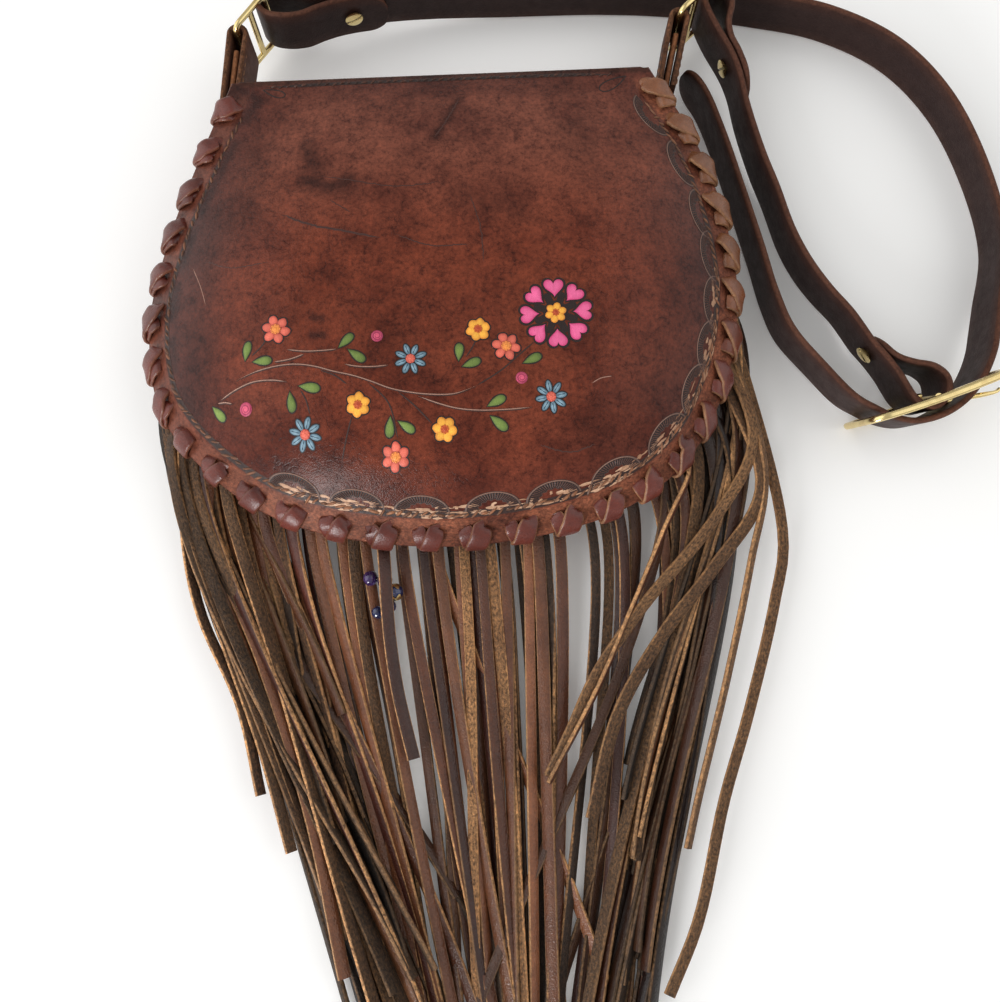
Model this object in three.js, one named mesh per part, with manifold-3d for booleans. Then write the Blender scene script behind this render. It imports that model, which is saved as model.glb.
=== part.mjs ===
// Shoulder bag of tooled leather, lying on its back with the flap up.
// Millimetres. Seen from above, X runs to the right, Y towards the top of the bag, and Z up from the floor.
// The origin is on the floor, in the middle of the back panel.
import * as THREE from 'three';
import { mergeVertices } from 'three/addons/utils/BufferGeometryUtils.js';
import Module from 'manifold-3d';

const wasm = await Module();
wasm.setup();

// Leather walls
const BODY_LEATHER = 2.4;
const GUSSET_LEATHER = 2.6;
const TAB_LEATHER = 3;
const STRAP_LEATHER = 2.8;
const STRAP_WIDTH = 25;
const SEAT_GAP = 0.3;

// Heights of the lying bag
const FLAP_TOP_Y = 108;
const EDGE_LOW_Z = 26;
const EDGE_HIGH_Z = 48;
const EDGE_LOW_Y = -70;
const CROWN_Z = 63;
const CROWN_START_Y = 10;
const CROWN_POWER = 2.4;
const SHOULDER_WIDTH = 80;
const SHOULDER_POWER = 2.6;
const NORMAL_PROBE = 1.5;
const OUTLINE_SAMPLES = 240;

// Grids of the two domed sheets
const FLAP_COLUMNS = 38;
const FLAP_ROWS = 6;
const FRONT_COLUMNS = 22;
const FRONT_ROWS = 5;
const SHEET_CORNER = 3;
const COLUMN_EASE = 1.8;
const ROW_EASE = 1.7;

// Edge of the flap in plan, from the top left corner round the bottom to the top right corner
const FLAP_EDGE = [
  { x: -90, y: FLAP_TOP_Y },
  { x: -105, y: 78 },
  { x: -121, y: 40 },
  { x: -130, y: 2 },
  { x: -125, y: -37 },
  { x: -104, y: -65 },
  { x: -69, y: -88.5 },
  { x: 0, y: -101 },
  { x: 70, y: -89.5 },
  { x: 103, y: -67 },
  { x: 121.5, y: -35 },
  { x: 129.8, y: 4 },
  { x: 126, y: 42 },
  { x: 114, y: 77 },
  { x: 95, y: FLAP_TOP_Y },
];

// Middle line of the gusset in plan, from its left end round the bottom to its right end
const GUSSET_LINE = [
  { x: -95, y: 106 },
  { x: -102.5, y: 82 },
  { x: -114, y: 46 },
  { x: -121.5, y: 8 },
  { x: -118, y: -32 },
  { x: -97, y: -60.5 },
  { x: -64, y: -81 },
  { x: 0, y: -92.5 },
  { x: 65, y: -82 },
  { x: 96, y: -62.5 },
  { x: 114.5, y: -34 },
  { x: 121.8, y: 6 },
  { x: 118.5, y: 44 },
  { x: 110.5, y: 76 },
  { x: 105.2, y: 106 },
];

// Pocket
const GUSSET_FOOT_Z = BODY_LEATHER + SEAT_GAP;
const GUSSET_STEPS = 44;
const FRONT_DROP = 9;
const FRONT_TOP_Y = 78;
const FRONT_SEAT = 1;
const WALL_LEFT = -86.5;
const WALL_RIGHT = 91.5;
const WALL_OUTER_Y = 107.3;
const WALL_TOP_Z = 44.8;
const WALL_BEND = 14;
const WALL_BEND_STEPS = 5;
const BACK_STEPS = 20;
const BACK_LOW_SHARE = 0.47;
const BACK_HIGH_SHARE = 0.045;
const GUSSET_SAMPLES = 400;

// Lacing of the flap's edge
const LACE_UNITS = 30;
const LACE_WIDTH = 6;
const LACE_THICK = 1.3;
const LACE_GAP = 1;
const LACE_HOLE_INSET = 6.4;
const LACE_END_INSET = 11;
const SLIT_CLEAR = 0.5;
const SLIT_DEPTH = 6 * BODY_LEATHER;

// Fringe
const FRINGE_COUNT = 31;
const FRINGE_WIDTH = 6.5;
const FRINGE_THICK = 2.2;
const FRINGE_LENGTH = 285;
const FRINGE_HEAD_LOW_Z = 11;
const FRINGE_HEAD_HIGH_Z = 22;
const FRINGE_HEAD_THICK = 2;
const FRINGE_HEAD_GAP = 0.4;
const FRINGE_ROOT_Z = 15;
const FRINGE_FALL_Z = 7;
const FRINGE_LAYERS = 2;
const FRINGE_LAYER_RISE = 2.5;
const FRINGE_STEPS = 6;
const FRINGE_STEP_EASE = 1.4;
const FRINGE_START = 0.13;
const FRINGE_END = 0.87;
const FRINGE_SWELL_LEFT = 29;
const FRINGE_SWELL_RIGHT = 50;
const FRINGE_SIDE_FALL = 52;
const FRINGE_SIDE_LOSS = 22;
const FRINGE_TIP_SPREAD_LEFT = 0.3;
const FRINGE_TIP_SPREAD_RIGHT = 0.4;
const FRINGE_SIDE_SPREAD = 0.26;
const FRINGE_TIP_SHIFT = 12;
const FRINGE_ARRIVAL = 95;
const FRINGE_ARRIVAL_SWEEP = 0.4;

// Strap tabs and rings
const TAB_HEIGHT = 24;
const TAB_FOOT = 1;
const TAB_ARC_STEPS = 8;
const TAB_LEG_SPACING = GUSSET_LEATHER + 2 * SEAT_GAP + TAB_LEATHER;
const RING_CENTRE_Z = 25;
const RING_HEIGHT = 34;
const RING_BAR = 3;
const RING_DEPTH = 2.6;
const RING_BAR_SPACING = 10.5;
const RING_CORNER = 4.2;
const PLATE_CORNER_STEPS = 3;
const TONGUE_HEIGHT = 20;
const TONGUE_START = 5;
const TONGUE_SHORT_OF_BAR = 8;
const RINGS = {
  left: { farX: -78.6, farY: 158.8, towardsX: -0.61, towardsY: -0.792 },
  right: { farX: 129.8, farY: 156.3, towardsX: -0.737, towardsY: -0.675 },
};

// Buckle: its own plan axes, a along the frame and b across it
const BUCKLE_X = 211.7;
const BUCKLE_Y = -46.2;
const BUCKLE_ANGLE = THREE.MathUtils.degToRad(17.6);
const BUCKLE_LENGTH = 66;
const BUCKLE_HEIGHT = 38;
const BUCKLE_BAR = 4;
const BUCKLE_DEPTH = 3.6;
const BUCKLE_CORNER = 7;
const BUCKLE_FLOOR_GAP = 0.2;
const CENTRE_BAR_A = -1.5;
const CENTRE_BAR_B = -0.4;
const CENTRE_BAR_RADIUS = 1.8;
const CENTRE_BAR_SIDES = 10;
const TONGUE_WIDTH = 3.2;
const TONGUE_THICK = 2.4;
const TONGUE_END_A = 33.5;
const TONGUE_REST_B = -3.5;
const TONGUE_Z = BUCKLE_HEIGHT / 2 + BUCKLE_FLOOR_GAP;
const TONGUE_EYE_WALL = 1.44;
const TONGUE_EYE_SIDES = 14;
const LONG_STRAP_HOLE = { fromA: 7, toA: 22, fromB: TONGUE_REST_B - 3, toB: TONGUE_REST_B + 3 };
const SHORT_STRAP_SLOT = { fromA: -6.5, toA: 7.5, fromB: -8, toB: 1.8 };

// Lean of the buckle and of the straps in it: their feet stand further up the bag than their tops
const LEAN_SLOPE = 0.2;
const LEAN_PIVOT_Z = 34;
const LEAN_NEAR = 42;
const LEAN_FAR = 110;

// Long strap: plan of its middle line from the folded end at the left ring, and height of its lower edge
const LONG_STRAP_BEFORE_BUCKLE = [
  { x: -23, y: 165.3, base: 6 },
  { x: -40, y: 161.8, base: 8 },
  { x: -48, y: 159.4, base: 9 },
  { x: -55, y: 156.4, base: 10 },
  { x: -63, y: 152.9, base: 10.5 },
  { x: -72, y: 151, base: 12.5 },
  { x: -79, y: 153.2, base: 12.5 },
  { x: -82.5, y: 158.5, base: 12.5 },
  { x: -80, y: 164, base: 12.5 },
  { x: -72, y: 165.8, base: 11 },
  { x: -58, y: 163.2, base: 10 },
  { x: -48, y: 162.9, base: 9 },
  { x: -40, y: 165.2, base: 8 },
  { x: -23, y: 168.7, base: 6 },
  { x: -2, y: 171.6, base: 3.2 },
  { x: 32, y: 173, base: 0.7 },
  { x: 82, y: 172.5, base: 0.3 },
  { x: 117, y: 169.6, base: 0.2 },
  { x: 155, y: 162.6, base: 0.2 },
  { x: 190, y: 153, base: 0.2 },
  { x: 220, y: 134.5, base: 0.2 },
  { x: 240, y: 107.5, base: 0.2 },
  { x: 252, y: 72, base: 0.2 },
  { x: 256.5, y: 32, base: 0.2 },
  { x: 250, y: -1, base: 0.8 },
];
const LONG_STRAP_IN_BUCKLE = [
  { a: 42.5, b: 20.7, base: 3 },
  { a: 35.1, b: 11.7, base: 5.4 },
  { a: 26.9, b: 3.8, base: 6.5 },
  { a: 19, b: -2.1, base: 6.5 },
  { a: 10, b: -6.4, base: 6.5 },
  { a: -1, b: -8.4, base: 6.5 },
  { a: -12, b: -7, base: 6.5 },
  { a: -20, b: -2.2, base: 6.5 },
  { a: -26, b: 4.6, base: 5.6 },
  { a: -31, b: 12, base: 4 },
];
const LONG_STRAP_TAIL = [
  { x: 168, y: -29, base: 0.8 },
  { x: 155.5, y: -10, base: 0.2 },
  { x: 149.5, y: 9, base: 0.2 },
  { x: 145, y: 32, base: 0.2 },
  { x: 138.5, y: 63, base: 0.2 },
  { x: 132, y: 92, base: 0.2 },
  { x: 126, y: 112, base: 0.2 },
  { x: 118.2, y: 126, base: 0.2 },
];

// Short strap: plan of its middle line from the folded end at the right ring to the fold in the buckle
const SHORT_STRAP_BEFORE_BUCKLE = [
  { x: 145.6, y: 108.4, base: 6.5 },
  { x: 143.9, y: 116.6, base: 8.2 },
  { x: 141, y: 125.6, base: 9.6 },
  { x: 137.9, y: 132.8, base: 10.6 },
  { x: 137.4, y: 140, base: 11.6 },
  { x: 139.4, y: 148, base: 12.5 },
  { x: 139, y: 155, base: 12.5 },
  { x: 134.8, y: 160.5, base: 12.5 },
  { x: 129, y: 160.8, base: 12.5 },
  { x: 125.9, y: 156, base: 12.5 },
  { x: 127.4, y: 147.5, base: 12.5 },
  { x: 131, y: 138.5, base: 11.4 },
  { x: 134.6, y: 131.3, base: 10.6 },
  { x: 137.9, y: 124.3, base: 9.6 },
  { x: 140.8, y: 115.5, base: 8.2 },
  { x: 143.8, y: 100.4, base: 5 },
  { x: 149.6, y: 77.4, base: 2 },
  { x: 154.8, y: 60.9, base: 0.4 },
  { x: 159.9, y: 39.7, base: 0.2 },
  { x: 166, y: 23.7, base: 0.2 },
  { x: 174.2, y: 8.8, base: 0.2 },
  { x: 182.7, y: -4.2, base: 1 },
];
const SHORT_STRAP_IN_BUCKLE = [
  { a: -12.7, b: 32.4, base: 2.8 },
  { a: -12, b: 29.2, base: 3.5 },
  { a: -11.3, b: 25.6, base: 4.4 },
  { a: -10.6, b: 21.2, base: 5.4 },
  { a: -9.8, b: 14.8, base: 6.5 },
  { a: -9.2, b: 9, base: 6.5 },
  { a: -8.2, b: 3, base: 6.5 },
  { a: -5.5, b: -2, base: 6.5 },
  { a: -1.5, b: -4, base: 6.5 },
  { a: 3.5, b: -2.6, base: 6.5 },
  { a: 8, b: 2, base: 6.5 },
  { a: 9, b: 7.5, base: 6.5 },
  { a: 5.8, b: 13.2, base: 6.5 },
  { a: -1, b: 17.7, base: 5.8 },
  { a: -6, b: 22, base: 5.2 },
  { a: -8, b: 25.6, base: 4.4 },
  { a: -8.7, b: 29.2, base: 3.5 },
  { a: -9.4, b: 32.4, base: 2.8 },
  { a: -10, b: 35.6, base: 2.2 },
];
const STRAP_STEPS_PER_ROW = 2;

// Two-headed screws through the strap folds
const SCREW_HEAD_RADIUS = 5;
const SCREW_HEAD_HEIGHT = 1.6;
const SCREW_POST_RADIUS = 2.4;
const SCREW_HOLE_RADIUS = 2.8;
const SCREW_SEAT = 0.7;
const SCREW_SIDES = 10;
const SCREW_BEVEL = 0.6;

// Beads
const BEAD_SIDES = 8;
const BEAD_BANDS = 4;
const CHARM_THREAD_RADIUS = 0.8;
const CHARM_THREAD_SIDES = 6;
const CHARM_BEADS = [
  { x: -36.5, y: -112, z: 15.7, radius: 3.4 },
  { x: -30.2, y: -113.5, z: 16.9, radius: 3.4 },
  { x: -26, y: -118.6, z: 16.6, radius: 3.6 },
  { x: -28.6, y: -124.4, z: 15.3, radius: 3 },
  { x: -34, y: -126.6, z: 13, radius: 2.8 },
];

const UP = new THREE.Vector3(0, 0, 1);
const MERGE_TOLERANCE = 1e-4;

function point(x, y, z = 0) {
  return new THREE.Vector3(x, y, z);
}

function spline(rows) {
  const points = rows.map((row) => point(row.x, row.y, row.base ?? 0));
  return new THREE.CatmullRomCurve3(points, false, 'centripetal');
}

function planNormal(tangent) {
  return point(tangent.y, -tangent.x).normalize();
}

// Closed body from a row of four-cornered sections, all listed in the same turning sense
function sweepSections(sections) {
  const positions = sections.flat().flatMap((corner) => corner.toArray());
  const index = [];
  for (let row = 0; row + 1 < sections.length; row += 1) {
    for (let corner = 0; corner < 4; corner += 1) {
      const next = (corner + 1) % 4;
      const here = row * 4;
      const ahead = here + 4;
      index.push(here + corner, ahead + corner, ahead + next);
      index.push(here + corner, ahead + next, here + next);
    }
  }
  const last = (sections.length - 1) * 4;
  index.push(0, 1, 2, 0, 2, 3);
  index.push(last, last + 2, last + 1, last, last + 3, last + 2);
  return facingOut(indexed(positions, index));
}

function indexed(positions, index) {
  const geometry = new THREE.BufferGeometry();
  geometry.setAttribute('position', new THREE.Float32BufferAttribute(positions, 3));
  geometry.setIndex(index);
  return geometry;
}

function signedVolume(geometry) {
  const place = geometry.getAttribute('position');
  const index = geometry.getIndex().array;
  const corner = [point(0, 0), point(0, 0), point(0, 0)];
  let sum = 0;
  for (let face = 0; face < index.length; face += 3) {
    corner.forEach((vertex, k) => vertex.fromBufferAttribute(place, index[face + k]));
    sum += corner[0].dot(corner[1].clone().cross(corner[2]));
  }
  return sum;
}

function facingOut(geometry) {
  if (signedVolume(geometry) < 0) {
    geometry.setIndex(Array.from(geometry.getIndex().array).reverse());
  }
  return geometry;
}

function toSolid(geometry) {
  const bare = geometry.clone();
  bare.deleteAttribute('normal');
  bare.deleteAttribute('uv');
  const merged = mergeVertices(bare, MERGE_TOLERANCE);
  const vertProperties = new Float32Array(merged.getAttribute('position').array);
  const triVerts = new Uint32Array(merged.getIndex().array);
  return new wasm.Manifold(new wasm.Mesh({ numProp: 3, vertProperties, triVerts }));
}

function fromSolid(solid) {
  const mesh = solid.getMesh();
  return indexed(Array.from(mesh.vertProperties), Array.from(mesh.triVerts));
}

function cut(geometry, cutters) {
  let solid = toSolid(geometry);
  for (const cutter of cutters) {
    solid = solid.subtract(toSolid(cutter));
  }
  return fromSolid(solid);
}

function fuse(geometries) {
  let solid = toSolid(geometries[0]);
  for (const geometry of geometries.slice(1)) {
    solid = solid.add(toSolid(geometry));
  }
  return fromSolid(solid);
}

// Shell between a grid of outer points and a grid of inner points, closed round its border
function shell(outer, inner) {
  const rows = outer.length;
  const columns = outer[0].length;
  const positions = [...outer.flat(), ...inner.flat()].flatMap((vertex) => vertex.toArray());
  const under = rows * columns;
  const at = (row, column) => row * columns + column;
  const index = [];
  const quad = (p, q, r, s) => index.push(p, q, r, p, r, s);
  for (let row = 0; row + 1 < rows; row += 1) {
    for (let column = 0; column + 1 < columns; column += 1) {
      const ring = [at(row, column), at(row + 1, column), at(row + 1, column + 1), at(row, column + 1)];
      quad(...ring);
      quad(...ring.map((vertex) => vertex + under).reverse());
    }
  }
  const border = [];
  for (let column = 0; column + 1 < columns; column += 1) border.push(at(0, column));
  for (let row = 0; row + 1 < rows; row += 1) border.push(at(row, columns - 1));
  for (let column = columns - 1; column > 0; column -= 1) border.push(at(rows - 1, column));
  for (let row = rows - 1; row > 0; row -= 1) border.push(at(row, 0));
  border.forEach((vertex, k) => {
    const next = border[(k + 1) % border.length];
    quad(vertex, next, next + under, vertex + under);
  });
  return facingOut(indexed(positions, index));
}

// Height of the flap's outer face over the floor: rounded shoulders along the edge, a flat crown inside
const flapEdge = spline(FLAP_EDGE);
const flapEdgeSamples = flapEdge.getSpacedPoints(OUTLINE_SAMPLES);
const gussetLine = spline(GUSSET_LINE);

function inFlap(x, y) {
  let inside = false;
  flapEdgeSamples.forEach((here, k) => {
    const next = flapEdgeSamples[(k + 1) % flapEdgeSamples.length];
    const crosses = here.y > y !== next.y > y;
    if (crosses && x < here.x + ((y - here.y) * (next.x - here.x)) / (next.y - here.y)) inside = !inside;
  });
  return inside;
}

function edgeDistance(x, y) {
  if (!inFlap(x, y)) return 0;
  let nearest = Infinity;
  for (let k = 0; k + 1 < flapEdgeSamples.length; k += 1) {
    const start = flapEdgeSamples[k];
    const run = flapEdgeSamples[k + 1].clone().sub(start);
    const along = ((x - start.x) * run.x + (y - start.y) * run.y) / run.lengthSq();
    const share = THREE.MathUtils.clamp(along, 0, 1);
    nearest = Math.min(nearest, Math.hypot(start.x + run.x * share - x, start.y + run.y * share - y));
  }
  return nearest;
}

function flapHeight(x, y) {
  const rise = THREE.MathUtils.clamp((y - EDGE_LOW_Y) / (FLAP_TOP_Y - EDGE_LOW_Y), 0, 1);
  const edge = EDGE_LOW_Z + (EDGE_HIGH_Z - EDGE_LOW_Z) * rise * rise;
  const fall = THREE.MathUtils.clamp((y - CROWN_START_Y) / (FLAP_TOP_Y - CROWN_START_Y), 0, 1);
  const crown = CROWN_Z - (CROWN_Z - EDGE_HIGH_Z) * fall ** CROWN_POWER;
  const share = Math.min(edgeDistance(x, y) / SHOULDER_WIDTH, 1);
  return edge + (crown - edge) * (1 - (1 - share) ** SHOULDER_POWER);
}

// Upward normal of the flap's face, taken a little inside the edge so that it holds at the edge too
function flapNormal(x, y) {
  const probe = NORMAL_PROBE;
  const reach = edgeDistance(x, y) < probe ? 1 - 2 * probe / Math.hypot(x, y) : 1;
  const px = x * reach;
  const py = y * reach;
  const slopeX = (flapHeight(px + probe, py) - flapHeight(px - probe, py)) / (2 * probe);
  const slopeY = (flapHeight(px, py + probe) - flapHeight(px, py - probe)) / (2 * probe);
  return point(-slopeX, -slopeY, 1).normalize();
}

// Domed leather sheet that hangs from a straight top line and ends on a curved edge
function domedSheet({ topLeft, topRight, edge, drop, columns, rows }) {
  const outer = [];
  const inner = [];
  for (let column = 0; column <= columns; column += 1) {
    const side = (2 * column) / columns - 1;
    const spread = 0.5 + 0.5 * Math.sign(side) * Math.abs(side) ** COLUMN_EASE;
    const top = topLeft.clone().lerp(topRight, spread);
    const low = edge(column / columns);
    const outerRib = [];
    const innerRib = [];
    for (let row = 0; row <= rows; row += 1) {
      const share = 1 - (1 - row / rows) ** ROW_EASE;
      const place = top.clone().lerp(low, share);
      place.z = flapHeight(place.x, place.y) - drop;
      outerRib.push(place);
      innerRib.push(place.clone().addScaledVector(flapNormal(place.x, place.y), -BODY_LEATHER));
    }
    outer.push(outerRib);
    inner.push(innerRib);
  }
  return shell(outer, inner);
}

// Frame of the flap's edge at one place along it: out of the flap in plan, and along the edge
function edgeFrame(share) {
  const place = flapEdge.getPointAt(share);
  const along = flapEdge.getTangentAt(share);
  return { place, along, out: planNormal(along) };
}

function flapSurface(frame, inset) {
  const place = frame.place.clone().addScaledVector(frame.out, -inset);
  const normal = flapNormal(place.x, place.y);
  place.z = flapHeight(place.x, place.y);
  return { place, normal };
}

function lacePlaces() {
  const length = flapEdge.getLength();
  const pitch = (length - 2 * LACE_END_INSET) / (LACE_UNITS - 1);
  return [...Array(LACE_UNITS).keys()].map((unit) => (LACE_END_INSET + unit * pitch) / length);
}

// Slit that one turn of the lace goes through
function laceSlit(share) {
  const frame = edgeFrame(share);
  const { place, normal } = flapSurface(frame, LACE_HOLE_INSET);
  const inward = normal.clone().cross(frame.along);
  const room = 2 * SLIT_CLEAR;
  const slit = new THREE.BoxGeometry(LACE_WIDTH + room, LACE_THICK + room, SLIT_DEPTH);
  slit.applyMatrix4(new THREE.Matrix4().makeBasis(frame.along, inward, normal).setPosition(place));
  return slit;
}

function flapGeometry() {
  const sheet = domedSheet({
    topLeft: point(FLAP_EDGE[0].x + SHEET_CORNER, FLAP_TOP_Y),
    topRight: point(FLAP_EDGE.at(-1).x - SHEET_CORNER, FLAP_TOP_Y),
    edge: (share) => flapEdge.getPointAt(share),
    drop: 0,
    columns: FLAP_COLUMNS,
    rows: FLAP_ROWS,
  });
  return cut(sheet, lacePlaces().map(laceSlit));
}

// One lace, up through each slit, out over the face, round the edge and back under it to the next slit
function lacingGeometry() {
  const clear = LACE_GAP + LACE_THICK / 2;
  const halfWidth = LACE_WIDTH / 2;
  const halfMitre = (LACE_THICK / 2) * Math.SQRT2;
  const places = lacePlaces();
  const sections = [];
  const corner = (frame, inset, rise, inwardSign, riseSign) => {
    const { place, normal } = flapSurface(frame, Math.max(inset, 0));
    const inward = normal.clone().cross(frame.along).normalize();
    if (inward.dot(frame.out) > 0) inward.negate();
    place.addScaledVector(normal, rise);
    if (inset < 0) place.addScaledVector(inward, inset);
    const mitre = inward.clone().multiplyScalar(inwardSign).addScaledVector(normal, riseSign).normalize();
    const wide = frame.along.clone().multiplyScalar(halfWidth);
    const thick = mitre.multiplyScalar(halfMitre);
    sections.push([
      place.clone().add(wide).add(thick),
      place.clone().sub(wide).add(thick),
      place.clone().sub(wide).sub(thick),
      place.clone().add(wide).sub(thick),
    ]);
  };
  for (const share of places) {
    const frame = edgeFrame(share);
    const under = -BODY_LEATHER - clear;
    corner(frame, LACE_HOLE_INSET, under, 1, -1);
    corner(frame, LACE_HOLE_INSET, clear, 1, 1);
    corner(frame, -clear, clear, -1, 1);
    corner(frame, -clear, under, -1, -1);
  }
  return sweepSections(sections);
}

// Underside of the front panel, where the gusset's upper edge meets it
function frontUnderside(x, y) {
  const normal = flapNormal(x, y);
  return flapHeight(x, y) - FRONT_DROP - BODY_LEATHER / normal.z;
}

function frontPanelGeometry() {
  const samples = gussetLine.getSpacedPoints(GUSSET_SAMPLES);
  const first = samples.findIndex((place) => place.y < FRONT_TOP_Y) / GUSSET_SAMPLES;
  const last = samples.findLastIndex((place) => place.y < FRONT_TOP_Y) / GUSSET_SAMPLES;
  const edge = (share) => {
    const along = first + (last - first) * share;
    const out = planNormal(gussetLine.getTangentAt(along));
    return gussetLine.getPointAt(along).addScaledVector(out, GUSSET_LEATHER / 2).setZ(0);
  };
  return domedSheet({
    topLeft: edge(0).add(point(SHEET_CORNER, 0)),
    topRight: edge(1).add(point(-SHEET_CORNER, 0)),
    edge,
    drop: FRONT_DROP,
    columns: FRONT_COLUMNS,
    rows: FRONT_ROWS,
  });
}

// Ends of the gusset: the tongue lies on the line from the gusset's end to the ring's near bar
function tongueFrame(side) {
  const ring = RINGS[side];
  const end = side === 'left' ? GUSSET_LINE[0] : GUSSET_LINE.at(-1);
  const base = point(end.x, end.y);
  const reach = 2 * RING_BAR_SPACING;
  const bar = point(ring.farX + ring.towardsX * reach, ring.farY + ring.towardsY * reach);
  const along = bar.clone().sub(base);
  const length = along.length();
  along.normalize();
  return { base, bar, along, across: point(along.y, -along.x), length };
}

function wallSection(place, across, low, high) {
  const half = GUSSET_LEATHER / 2;
  const inner = place.clone().addScaledVector(across, -half);
  const outer = place.clone().addScaledVector(across, half);
  const foot = [inner, outer].map((edge) => edge.clone().setZ(low));
  const rim = [outer, inner].map((edge) => edge.clone().setZ(high(edge)));
  return [...foot, ...rim];
}

function gussetGeometry() {
  const tongueLow = RING_CENTRE_Z - TONGUE_HEIGHT / 2;
  const tongueHigh = () => RING_CENTRE_Z + TONGUE_HEIGHT / 2;
  const wallHigh = (place) => frontUnderside(place.x, place.y) - FRONT_SEAT;
  const tongue = (side) => {
    const { base, along, across, length } = tongueFrame(side);
    const outward = side === 'left' ? across.clone().negate() : across;
    const runs = [TONGUE_START, length - TONGUE_SHORT_OF_BAR];
    return runs.map((run) => {
      const place = base.clone().addScaledVector(along, run);
      return wallSection(place, outward, tongueLow, tongueHigh);
    });
  };
  const sections = [];
  for (let step = 0; step <= GUSSET_STEPS; step += 1) {
    const share = step / GUSSET_STEPS;
    const out = planNormal(gussetLine.getTangentAt(share));
    sections.push(wallSection(gussetLine.getPointAt(share), out, GUSSET_FOOT_Z, wallHigh));
  }
  return sweepSections([...tongue('left').reverse(), ...sections, ...tongue('right')]);
}

// Back: flat on the floor out to the gusset's outer face, then bent up into the top wall
function backPanelGeometry() {
  const section = (left, right, thickness) => [
    left, right, right.clone().add(thickness), left.clone().add(thickness),
  ];
  const flat = point(0, 0, BODY_LEATHER);
  const sections = [];
  const bendY = WALL_OUTER_Y - WALL_BEND;
  const rim = (share) => {
    const out = planNormal(gussetLine.getTangentAt(share));
    return gussetLine.getPointAt(share).addScaledVector(out, GUSSET_LEATHER / 2).setZ(0);
  };
  for (let step = 0; step <= BACK_STEPS; step += 1) {
    const share = THREE.MathUtils.lerp(BACK_LOW_SHARE, BACK_HIGH_SHARE, step / BACK_STEPS);
    sections.push(section(rim(share), rim(1 - share), flat));
  }
  sections.push(section(point(WALL_LEFT, bendY), point(WALL_RIGHT, bendY), flat));
  for (let step = 1; step <= WALL_BEND_STEPS; step += 1) {
    const angle = (Math.PI / 2) * (step / WALL_BEND_STEPS);
    const y = bendY + WALL_BEND * Math.sin(angle);
    const z = WALL_BEND * (1 - Math.cos(angle));
    const inward = point(0, -Math.sin(angle), Math.cos(angle)).multiplyScalar(BODY_LEATHER);
    sections.push(section(point(WALL_LEFT, y, z), point(WALL_RIGHT, y, z), inward));
  }
  const inward = point(0, -BODY_LEATHER);
  const top = [point(WALL_LEFT, WALL_OUTER_Y, WALL_TOP_Z), point(WALL_RIGHT, WALL_OUTER_Y, WALL_TOP_Z)];
  sections.push(section(...top, inward));
  return sweepSections(sections);
}

// Fringe: a head band sewn outside the gusset, and strips that fall to the floor and sweep to the tips
function fringeHead() {
  const inside = GUSSET_LEATHER / 2 + FRINGE_HEAD_GAP;
  const outside = inside + FRINGE_HEAD_THICK;
  const sections = [];
  for (let step = 0; step <= GUSSET_STEPS; step += 1) {
    const share = FRINGE_START + (FRINGE_END - FRINGE_START) * (step / GUSSET_STEPS);
    const out = planNormal(gussetLine.getTangentAt(share));
    const place = gussetLine.getPointAt(share);
    const inner = place.clone().addScaledVector(out, inside);
    const outer = place.clone().addScaledVector(out, outside);
    sections.push([
      inner.clone().setZ(FRINGE_HEAD_LOW_Z),
      outer.clone().setZ(FRINGE_HEAD_LOW_Z),
      outer.clone().setZ(FRINGE_HEAD_HIGH_Z),
      inner.clone().setZ(FRINGE_HEAD_HIGH_Z),
    ]);
  }
  return sweepSections(sections);
}

function fringeRoute(share, layer) {
  const out = planNormal(gussetLine.getTangentAt(share));
  const inside = GUSSET_LEATHER / 2 + FRINGE_HEAD_GAP + FRINGE_HEAD_THICK / 2;
  const root = gussetLine.getPointAt(share).addScaledVector(out, inside).setZ(FRINGE_ROOT_Z);
  const swell = root.x < 0 ? FRINGE_SWELL_LEFT : FRINGE_SWELL_RIGHT;
  const spread = root.x < 0 ? FRINGE_TIP_SPREAD_LEFT : FRINGE_TIP_SPREAD_RIGHT;
  const sideways = 1 + out.y;
  const leave = root.clone().addScaledVector(out, swell).setZ(FRINGE_FALL_Z);
  leave.y -= FRINGE_SIDE_FALL * sideways;
  const lie = FRINGE_THICK / 2 + SEAT_GAP + layer * FRINGE_LAYER_RISE;
  const tipX = (spread + FRINGE_SIDE_SPREAD * sideways) * root.x + FRINGE_TIP_SHIFT;
  const sweep = tipX - root.x;
  const reach = Math.sqrt(FRINGE_LENGTH ** 2 - sweep ** 2) - FRINGE_SIDE_LOSS * sideways;
  const tip = point(tipX, root.y - reach, lie);
  const arrive = tip.clone().add(point(-FRINGE_ARRIVAL_SWEEP * sweep, FRINGE_ARRIVAL));
  return { out, curve: new THREE.CubicBezierCurve3(root, leave, arrive, tip) };
}

// A strip leaves the head square to it, and then lies flat along its route
function fringeStrip({ out, curve }) {
  const sections = [];
  for (let step = 0; step <= FRINGE_STEPS; step += 1) {
    const share = (step / FRINGE_STEPS) ** FRINGE_STEP_EASE;
    const place = curve.getPoint(share);
    const along = step > 0 ? curve.getTangent(share) : out;
    const wide = along.clone().cross(UP).normalize();
    const thick = wide.clone().cross(along).normalize().multiplyScalar(FRINGE_THICK / 2);
    wide.multiplyScalar(FRINGE_WIDTH / 2);
    sections.push([
      place.clone().sub(wide).sub(thick),
      place.clone().add(wide).sub(thick),
      place.clone().add(wide).add(thick),
      place.clone().sub(wide).add(thick),
    ]);
  }
  return sweepSections(sections);
}

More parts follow.
